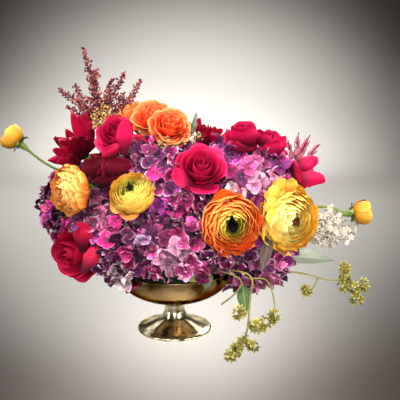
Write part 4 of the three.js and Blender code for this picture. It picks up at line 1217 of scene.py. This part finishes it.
def feathered(growth, root, tip, spread, shades, grain, start=0.12, gap=2.2, lean=0.8):
    """A slim axis set with short twigs of tiny grains, shorter towards the tip."""
    draw = growth.random
    shades = linear(shades)
    root, tip = xyz(root), xyz(tip)
    length = np.linalg.norm(tip - root)
    way = (tip - root) / length
    bow = np.cross(way, draw.normal(0, 1, 3)) * 0.03 * length
    line = spline([root, mix(root, tip, 0.5) + bow, tip], 8)
    growth.tube(line, np.linspace(0.9, 0.4, len(line)), shades[0], sides=5)
    side = unit(np.cross(way, (0.2, 0.8, 0.3)))
    other = np.cross(way, side)
    for i in range(int(length * (1 - start) / gap)):
        share = start + (1 - start) * (i + 0.5) * gap / (length * (1 - start))
        at = share * (len(line) - 1)
        foot = xyz([np.interp(at, range(len(line)), values) for values in line.T])
        turn = i * GOLDEN_TURN
        aside = math.cos(turn) * side + math.sin(turn) * other
        reach = (spread * (1 - share) ** 0.75 + 1.5) * draw.uniform(0.55, 1.15)
        twig_way = unit(lean * way + aside + draw.normal(0, 0.12, 3))
        end = foot + reach * twig_way
        hair(growth, foot, end, 0.28, shades[0])
        grains = max(2, int(reach / GRAIN_GAP))
        for k in range(grains):
            place = mix(foot, end, (k + 1) / grains) + draw.normal(0, 0.75, 3)
            shade = shades[draw.integers(len(shades))] * draw.uniform(0.8, 1.2)
            size = grain * draw.uniform(0.6, 1.15)
            growth.bead(place, size, shade, twig_way, 1.3, sides=4, rows=2)


# The plume's branches: root, tip and spread
PLUME_AXES = [
    ((-87, 8, 244), (-104, 4, 343), 12),
    ((-89, 8, 258), (-132, 0, 295), 9),
    ((-87, 8, 246), (-128, 18, 274), 8),
    ((-90, 7, 260), (-57, 18, 314), 11),
    ((-87, 8, 250), (-39, 28, 304), 9),
    ((-88, 8, 250), (-90, 8, 318), 14),
    ((-86, 8, 252), (-73, 12, 306), 13),
    ((-90, 8, 252), (-114, 6, 300), 12),
    ((-86, 9, 250), (-58, 17, 290), 12),
    ((-92, 7, 252), (-110, 4, 284), 9),
    ((-84, 10, 252), (-46, 23, 287), 8),
]


def filler_stem(growth, joint, tint, radius=1.2):
    growth.tube(stem_line(xyz(joint), xyz((0, 0, 1))), radius, linear(tint))


def build_plume():
    growth = Growth(seed=500)
    for root, tip, spread in PLUME_AXES:
        feathered(growth, root, tip, spread, PLUME, 1.7, gap=1.25)
    filler_stem(growth, (-87, 8, 246), (96, 60, 52))
    growth.piece("astilbe_bracts", DRY, "astilbe_plume")


HAIR = linear((84, 60, 30))
PALE_BUD = (182, 144, 110)
TAN_TIPS = [(-93, -21, 268), (-80, -20, 281), (-67, -15, 269), (-87, -26, 276), (-73, -24, 277)]
TUFTS = [(-4, -62, 241), (9, -58, 240), (20, -52, 242), (29, -50, 244), (-12, -64, 238)]


def bristles(growth, middle, count=24, length=8.0):
    """A tuft of fine gold-brown hairs with small buds, some of them pale."""
    draw = growth.random
    for k in range(count):
        way = heading(draw.uniform(-90, 90), draw.uniform(-20, 80))
        end = middle + way * length * draw.uniform(0.5, 1.2)
        hair(growth, middle, end, 0.3, HAIR)
        pale = k % 4 == 0
        size = draw.uniform(1.1, 1.7) if pale else 0.6
        growth.bead(end, size, linear(PALE_BUD if pale else TAN[k % 3]), sides=5, rows=3)


def build_tan():
    growth = Growth(seed=510)
    for tip in TAN_TIPS:
        feathered(growth, (-82, -22, 241), tip, 8, TAN, 1.5, start=0.35, gap=1.7)
    for middle in TUFTS:
        bristles(growth, xyz(middle))
    filler_stem(growth, (-82, -22, 243), (128, 108, 60))
    growth.piece("tan_seed_heads", DRY, "tan_cluster")


SHOOT_COLOURS = ((120, 38, 66), (196, 104, 124), (226, 150, 160))
SHOOT_TIPS = [
    (137, 15, 233), (150, 18, 242), (164, 20, 239), (177, 22, 227), (170, 27, 207), (158, 16, 230),
]
SHOOT_LEAVES = 7


def build_tips():
    growth = Growth(seed=520)
    root = xyz((146, 22, 195))
    draw = growth.random
    for tip in SHOOT_TIPS:
        tip = xyz(tip)
        line = spline([root, mix(root, tip, 0.5), tip], 4)
        growth.tube(line, 0.7, linear(SHOOT_COLOURS[0]), sides=5)
        way = unit(tip - root)
        for k in range(SHOOT_LEAVES):
            foot = mix(root, tip, 0.2 + 0.55 * k / SHOOT_LEAVES)
            aside = unit(np.cross(way, heading(k * GOLDEN_DEGREES, 20)))
            end = foot + way * draw.uniform(10, 14) + aside * draw.uniform(1.5, 3.5)
            width, side = draw.uniform(1.8, 2.6), np.cross(way, aside)
            pointed_leaf(growth, foot, end, width, side, SHOOT_COLOURS, 0.8, 0.3, 0.1)
    filler_stem(growth, (146, 22, 198), (120, 80, 70))
    growth.piece("rosewood_shoots", LEAF, "rosewood_tips")


PAPERY = ((176, 154, 126), (228, 216, 196), (246, 240, 228))
STAR_GREEN = ((70, 58, 18), (168, 156, 66), (214, 204, 128))
PALE_TIPS = [
    (190, -8, 150), (208, -8, 140), (219, -8, 124), (198, -4, 108), (200, -14, 146),
    (214, -2, 132), (208, -12, 116), (188, -12, 128), (184, 0, 114),
]
STARS_ON_TWIG = 13
STAR_PETALS = 5


def build_pale():
    growth = Growth(seed=530)
    draw = growth.random
    root = xyz((158, -4, 126))
    for tip in PALE_TIPS:
        feathered(growth, root, tip, 11, SEED, 0.8, start=0.2, gap=3.6, lean=1.0)
        for _ in range(STARS_ON_TWIG):
            at = mix(root, xyz(tip), draw.uniform(0.35, 1)) + draw.normal(0, 5.5, 3)
            way = heading(draw.uniform(-60, 60), draw.uniform(0, 60))
            star(growth, at, draw.uniform(3.4, 5), way, PAPERY)
    filler_stem(growth, (160, -4, 126), (150, 146, 110))
    growth.piece("pale_papery_flowers", DRY, "pale_spray")


def star(growth, middle, size, way, colours):
    """A small flower of pointed petals."""
    where = frame_at(middle, way, growth.random.uniform(0, 72))
    colours = linear(colours)
    for k in range(STAR_PETALS):
        side = 2 * math.pi * k / STAR_PETALS

        def surface(u, v):
            width = 0.3 * size * np.sin(math.pi * np.clip(v, 0.05, 0.97) ** 0.8) * u
            along = size * (0.1 + 0.9 * v)
            return fanned(side, along, width, size * (0.35 * v - 0.1 * u * u))

        tint = petal_tint(colours, growth.random.uniform(0.8, 1.15))
        growth.sheet(surface, tint, 2, 3, where)
    growth.bead(middle, 0.22 * size, colours[1], way, sides=5, rows=3)


# Vines: the tip and the way into the foam, side branches, and where the star clusters sit
VINES = {
    "vine_front": {
        "line": [(75, -111, 9), (83, -111, 39), (86, -110, 76), (84, -106, 104)],
        "branches": [[(84, -107, 100), (106, -92, 92), (115, -90, 64), (112, -90, 42)]],
        "buds": [
            (92, -114, 47), (79, -114, 31), (89, -114, 25), (71, -113, 20), (65, -113, 13),
            (74, -112, 62), (103, -90, 40), (114, -92, 50),
        ],
    },
    "vine_right": {
        "line": [(202, -40, 78), (184, -44, 77), (150, -46, 86), (112, -46, 90)],
        "branches": [
            [(198, -40, 78), (214, -42, 68), (219, -42, 56)],
            [(170, -43, 80), (165, -43, 68), (158, -42, 61)],
        ],
        "buds": [
            (202, -42, 91), (202, -42, 79), (201, -42, 70), (214, -43, 67), (223, -43, 71),
            (216, -43, 54), (156, -42, 64),
        ],
    },
}


VINE_BROWN, VINE_OLIVE = linear((150, 126, 70)), linear((142, 140, 62))
STARS_ON_BUD = 8


def build_vine(seed, name):
    growth = Growth(seed)
    draw = growth.random
    vine = VINES[name]
    main = stem_line(vine["line"][0], None, vine["line"][1:])
    growth.tube(main, 1.0, mix(VINE_OLIVE, VINE_BROWN, np.linspace(0, 1, len(main))), sides=6)
    branches = [spline(branch, 8) for branch in vine["branches"]]
    for branch in branches:
        growth.tube(branch, 0.8, VINE_OLIVE, sides=6)
    every = np.vstack([main, *branches])
    for bud in vine["buds"]:
        bud = xyz(bud)
        near = every[np.argmin(np.linalg.norm(every - bud, axis=1))]
        twig = spline([near, mix(near, bud, 0.5) + (0, 0, -0.6), bud], 3)
        growth.tube(twig, 0.5, VINE_OLIVE, sides=5)
        for k in range(STARS_ON_BUD):
            way = heading(k * GOLDEN_DEGREES, 75 - 150 * (k + 0.5) / STARS_ON_BUD)
            away = unit(way + draw.normal(0, 0.35, 3))
            middle = bud + away * draw.uniform(3, 7.5)
            hair(growth, bud, middle, 0.3, VINE_OLIVE)
            star(growth, middle, draw.uniform(4.6, 6.8), away, STAR_GREEN)
    growth.piece(f"{name}_stars", DRY, name)


# The leaf groups: piece, node, slot, the top and colour of the stem; the leaves, each with its
# root, tip, half width, side, colours and arch; and bare twigs
LEAF_GROUPS = [
    (
        "front_leaf_blades", "leaves_front", "leaf_dark", (40, -78, 100), (92, 104, 54),
        [
            ((40, -78, 101), (38, -88, 80), 6.5, (1, 0, 0), LEAF_DARK, 3),
            ((40, -78, 101), (18, -84, 89), 6.5, (0.4, 0, 1), LEAF_LIME, 3),
            ((79, -97, 90), (83, -101, 57), 7.5, (1, 0.1, 0), LEAF_DARK, 1),
            ((109, -84, 141), (100, -94, 104), 6.5, (1, 0.1, 0), LEAF_TAUPE, 1),
        ],
        [
            [(40, -78, 101), (60, -91, 101), (75, -96, 96), (79, -97, 87)],
            [(79, -97, 89), (68, -98, 77), (55, -97, 66)],
        ],
    ),
    (
        "right_leaf_blade", "leaf_right", "leaf_pale", (126, -34, 101), (128, 140, 96),
        [((125, -34, 101), (190, -34, 97), 12, (0, -0.5, 1), LEAF_PALE, 4)],
        [],
    ),
    (
        "back_leaf_blades", "leaves_back", "leaf_dark", (6, 84, 104), (92, 104, 54),
        [
            ((6, 82, 104), (-34, 116, 84), 14, (0.8, 0.8, 0.4), LEAF_DARK, 3),
            ((6, 82, 104), (46, 114, 88), 14, (0.8, -0.8, 0.4), LEAF_DARK, 3),
            ((6, 82, 104), (8, 128, 100), 13, (1, 0, 0), LEAF_DARK, 3),
        ],
        [],
    ),
]
TWIG = linear((128, 116, 66))


def build_leaves(seed, name, node, slot, joint, tint, leaves, twigs):
    growth = Growth(seed)
    filler_stem(growth, joint, tint, 1.6)
    for leaf in leaves:
        pointed_leaf(growth, *leaf)
    for twig in twigs:
        growth.tube(spline(twig, 6), 1.0, TWIG, sides=6)
    growth.piece(name, LEAF, node)


# Holder


# Radii and heights: the rim's rounded lip, and the foot from its underside to its collar
RIM_LIP = [
    (74.6, 81.2), (75.0, 81.5), (75.1, 81.9), (74.8, 82.3), (74.2, 82.5), (73.4, 82.4),
    (72.8, 82.0),
]
FOOT_EDGE = [
    (44.8, 0), (45.3, 0.2), (FOOT_RADIUS, 0.6), (FOOT_RADIUS, 1.7), (45.4, 2.2), (44.9, 2.8),
    (44.2, 3.3), (43.4, 3.6), (37.4, 3.9), (36.8, 4.4),
]
FOOT_DOME = [
    (36.8, 4.4), (30.4, 7.2), (22.5, 11.4), (17.2, 15.8), (14.6, 20), (12.9, 24), (12.3, 28),
    (12.2, 31.5), (12.6, 32.8),
]
FOOT_COLLAR = [
    (13.6, 33.2), (14.3, 33.7), (14.6, 34.4), (14.6, 35.6), (14.3, 36.3), (13.6, 36.7),
    (13.4, 37.2), (13.4, PEDESTAL_HEIGHT),
]
SEAT_ROOM = 0.6
# The radius at which a profile closes on the axis, and how many sides a turned piece has
AXIS = 0.01
TURNED_SIDES = 112


def turned(name, profile, node, material):
    """A round piece, closed on the axis."""
    growth = Growth()
    growth.add(*revolved(profile, TURNED_SIDES), (1, 1, 1))
    growth.piece(name, material, node)


def bowl_arc(start, end, count, wall):
    """The bowl's wall from one turn to another, from under it to its rim."""
    turn = np.linspace(start, end, count)
    radius, depth = RIM_RADIUS - wall, BOWL_DEPTH - wall
    return list(zip(radius * np.sin(turn), RIM_HEIGHT - depth * np.cos(turn)))


def build_holder():
    seat_turn = math.asin((SEAT_RADIUS + SEAT_ROOM) / RIM_RADIUS)
    outside = bowl_arc(seat_turn, math.pi / 2, 34, 0)
    inside = bowl_arc(math.pi / 2, 0.001, 30, BOWL_WALL)
    bowl = [(AXIS, outside[0][1]), *outside, *RIM_LIP, *inside]
    turned("compote_bowl", bowl, "bowl", BOWL_GOLD)
    dome = spline(FOOT_DOME, 5)[1:]
    foot = [(AXIS, 0), *FOOT_EDGE, *dome, *FOOT_COLLAR, (AXIS, PEDESTAL_HEIGHT)]
    turned("compote_foot", foot, "pedestal", FOOT_GOLD)
    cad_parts["foam"].material_slots[0].material = FOAM


# The stage, the lights and the camera

FLOOR_RADIUS = 1000.0
SWEEP_BEND = 650.0
WALL_TOP = 2600.0
SWEEP_SIDES = 144
SWEEP_COLOUR = (244, 239, 231)


def build_stage():
    """A pale seamless sweep: a round floor that curves up into a wall all round."""
    turn = np.linspace(0, math.pi / 2, 25)
    profile = [(AXIS, 0.0), (0.5 * FLOOR_RADIUS, 0.0)]
    profile += [
        (FLOOR_RADIUS + SWEEP_BEND * math.sin(t), SWEEP_BEND * (1 - math.cos(t))) for t in turn
    ]
    profile.append((FLOOR_RADIUS + SWEEP_BEND, WALL_TOP))
    material, _, shader = new_material("paper_sweep", 0.9)
    shader.inputs["Base Color"].default_value = opaque(SWEEP_COLOUR)
    sweep = in_scene("sweep", smooth_mesh("sweep", *revolved(profile, SWEEP_SIDES), material))
    sweep.visible_diffuse = False


# The pools of light on the sweep: name, place, aim, cone in degrees and watts
POOLS = [
    ("pool_front", CAMERA_PLACE, (16, 0, 195), 36, 114),
    ("pool_wall", (11, 859, 550), (4, 1708, -537), 98, 14.2),
    ("pool_floor", (-47, 841, 822), (-113, 661, -508), 108, 18),
    ("pool_foot", CAMERA_PLACE, (31, 0, 55), 16, 36),
    ("pool_side", CAMERA_PLACE, (209, 0, 175), 10, 25),
    ("pool_rear", (0, -600, 700), (0, -1250, 0), 108, 44),
    ("pool_left", (-620, -200, 700), (-1300, -200, 0), 112, 44),
    ("pool_right", (660, -200, 700), (1340, -200, 0), 110, 44),
    ("pool_near", (0, -620, 900), (0, -620, 0), 60, 18),
    ("pool_near_left", (-640, -700, 700), (-1090, -1150, 50), 100, 18),
    ("pool_near_right", (640, -700, 700), (1090, -1150, 50), 100, 18),
    ("pool_far_left", (-750, 650, 700), (-1200, 1100, 50), 96, 13),
    ("pool_far_right", (750, 650, 700), (1200, 1100, 50), 96, 13),
]
POOL_RADIUS = 60
# The lamps on the flowers: the same, with each lamp's radius
LAMPS = [
    ("front", (60, -980, 430), (30, 0, 180), 40, 32, 150),
    ("key", (-420, -700, 1000), (10, -30, 160), 34, 49, 150),
    ("fill", (760, -760, 520), (110, 0, 150), 34, 46, 200),
    ("back", (260, 1150, 760), (0, 0, 170), 34, 54, 200),
]
# The flat lights on the flowers: name, place, aim, width and length, and watts
PANELS = [
    ("strip_left", (-700, -420, 420), (0, 0, 100), (60, 700), 3.0),
    ("strip_right", (760, -300, 460), (0, 0, 100), (60, 700), 2.0),
    ("top", (0, -120, 950), (0, 0, 150), (500, 500), 6.0),
]
# A wide soft light that only the foot reflects, given the same way
FOOT_SHEEN = ("foot_sheen", (0, 400, 800), (0, 400, 0), (2000, 1800), 20.0)
WORLD_COLOUR, WORLD_STRENGTH = (190, 186, 180), 0.05


def new_light(kind, name, place, aim, watts):
    """A light that looks at its aim and that the camera doesn't see."""
    light = in_scene(name, bpy.data.lights.new(name, kind))
    light.data.energy = watts
    light.location = Vector(place) * MM
    light.rotation_euler = (Vector(aim) - Vector(place)).to_track_quat("-Z", "Y").to_euler()
    light.visible_camera = False
    return light


def spot_light(name, place, aim, cone, watts, radius=POOL_RADIUS):
    light = new_light("SPOT", name, place, aim, watts)
    light.data.spot_size, light.data.spot_blend = math.radians(cone), 1.0
    light.data.shadow_soft_size = radius * MM
    return light


def area_light(name, place, aim, size, watts):
    light = new_light("AREA", name, place, aim, watts)
    light.data.shape = "RECTANGLE"
    light.data.size, light.data.size_y = size[0] * MM, size[1] * MM
    return light


def collection_of(name, thing):
    made = bpy.data.collections.new(name)
    made.objects.link(bpy.data.objects[thing])
    return made


def shine_on(light, receivers, blockers=None):
    """Lets a light reach the receivers only, shaded by the blockers or by everything."""
    light.light_linking.receiver_collection = receivers
    light.light_linking.blocker_collection = blockers


def build_lights():
    """Soft lights on the flowers, and soft-edged pools on the sweep that fall away to dark
    corners behind the flowers."""
    backdrop = collection_of("backdrop", "sweep")
    for pool in POOLS:
        shine_on(spot_light(*pool), backdrop, backdrop)
    flowers = collection_of("all_but_backdrop", "sweep")
    flowers.collection_objects[0].light_linking.link_state = "EXCLUDE"
    for lamp in LAMPS:
        shine_on(spot_light(*lamp), flowers)
    for panel in PANELS:
        shine_on(area_light(*panel), flowers)
    holder = collection_of("holder", "compote_foot")
    shine_on(area_light(*FOOT_SHEEN), holder, holder)
    world = bpy.data.worlds.new("studio")
    world.use_nodes = True
    background = world.node_tree.nodes["Background"]
    background.inputs["Color"].default_value = opaque(WORLD_COLOUR)
    background.inputs["Strength"].default_value = WORLD_STRENGTH
    bpy.context.scene.world = world
    bpy.context.scene.view_settings.view_transform = "Standard"


def build_camera():
    data = bpy.data.cameras.new("camera")
    data.lens, data.sensor_width = CAMERA_LENS, CAMERA_SENSOR
    data.clip_start, data.clip_end = 0.05, 20
    camera = in_scene("camera", data)
    camera.location = [value * MM for value in CAMERA_PLACE]
    camera.rotation_euler = (math.radians(90 - CAMERA_ELEVATION), 0, 0)
    bpy.context.scene.camera = camera


def build_flowers():
    rooms = bloom_rooms()
    for index, bloom in enumerate(BLOOMS):
        build_bloom(100 + index, bloom)
        build_stem(200 + index, bloom)
    for index, bloom in enumerate(SPRAY_BLOOMS):
        build_bloom(140 + index, bloom)
    build_spray_stem()
    for index, name in enumerate(HEADS):
        build_head(400 + index, name, rooms)
    build_plume()
    build_tan()
    build_tips()
    build_pale()
    for index, name in enumerate(VINES):
        build_vine(540 + index, name)
    for index, group in enumerate(LEAF_GROUPS):
        build_leaves(560 + index, *group)


build_flowers()
build_holder()
build_stage()
build_lights()
build_camera()
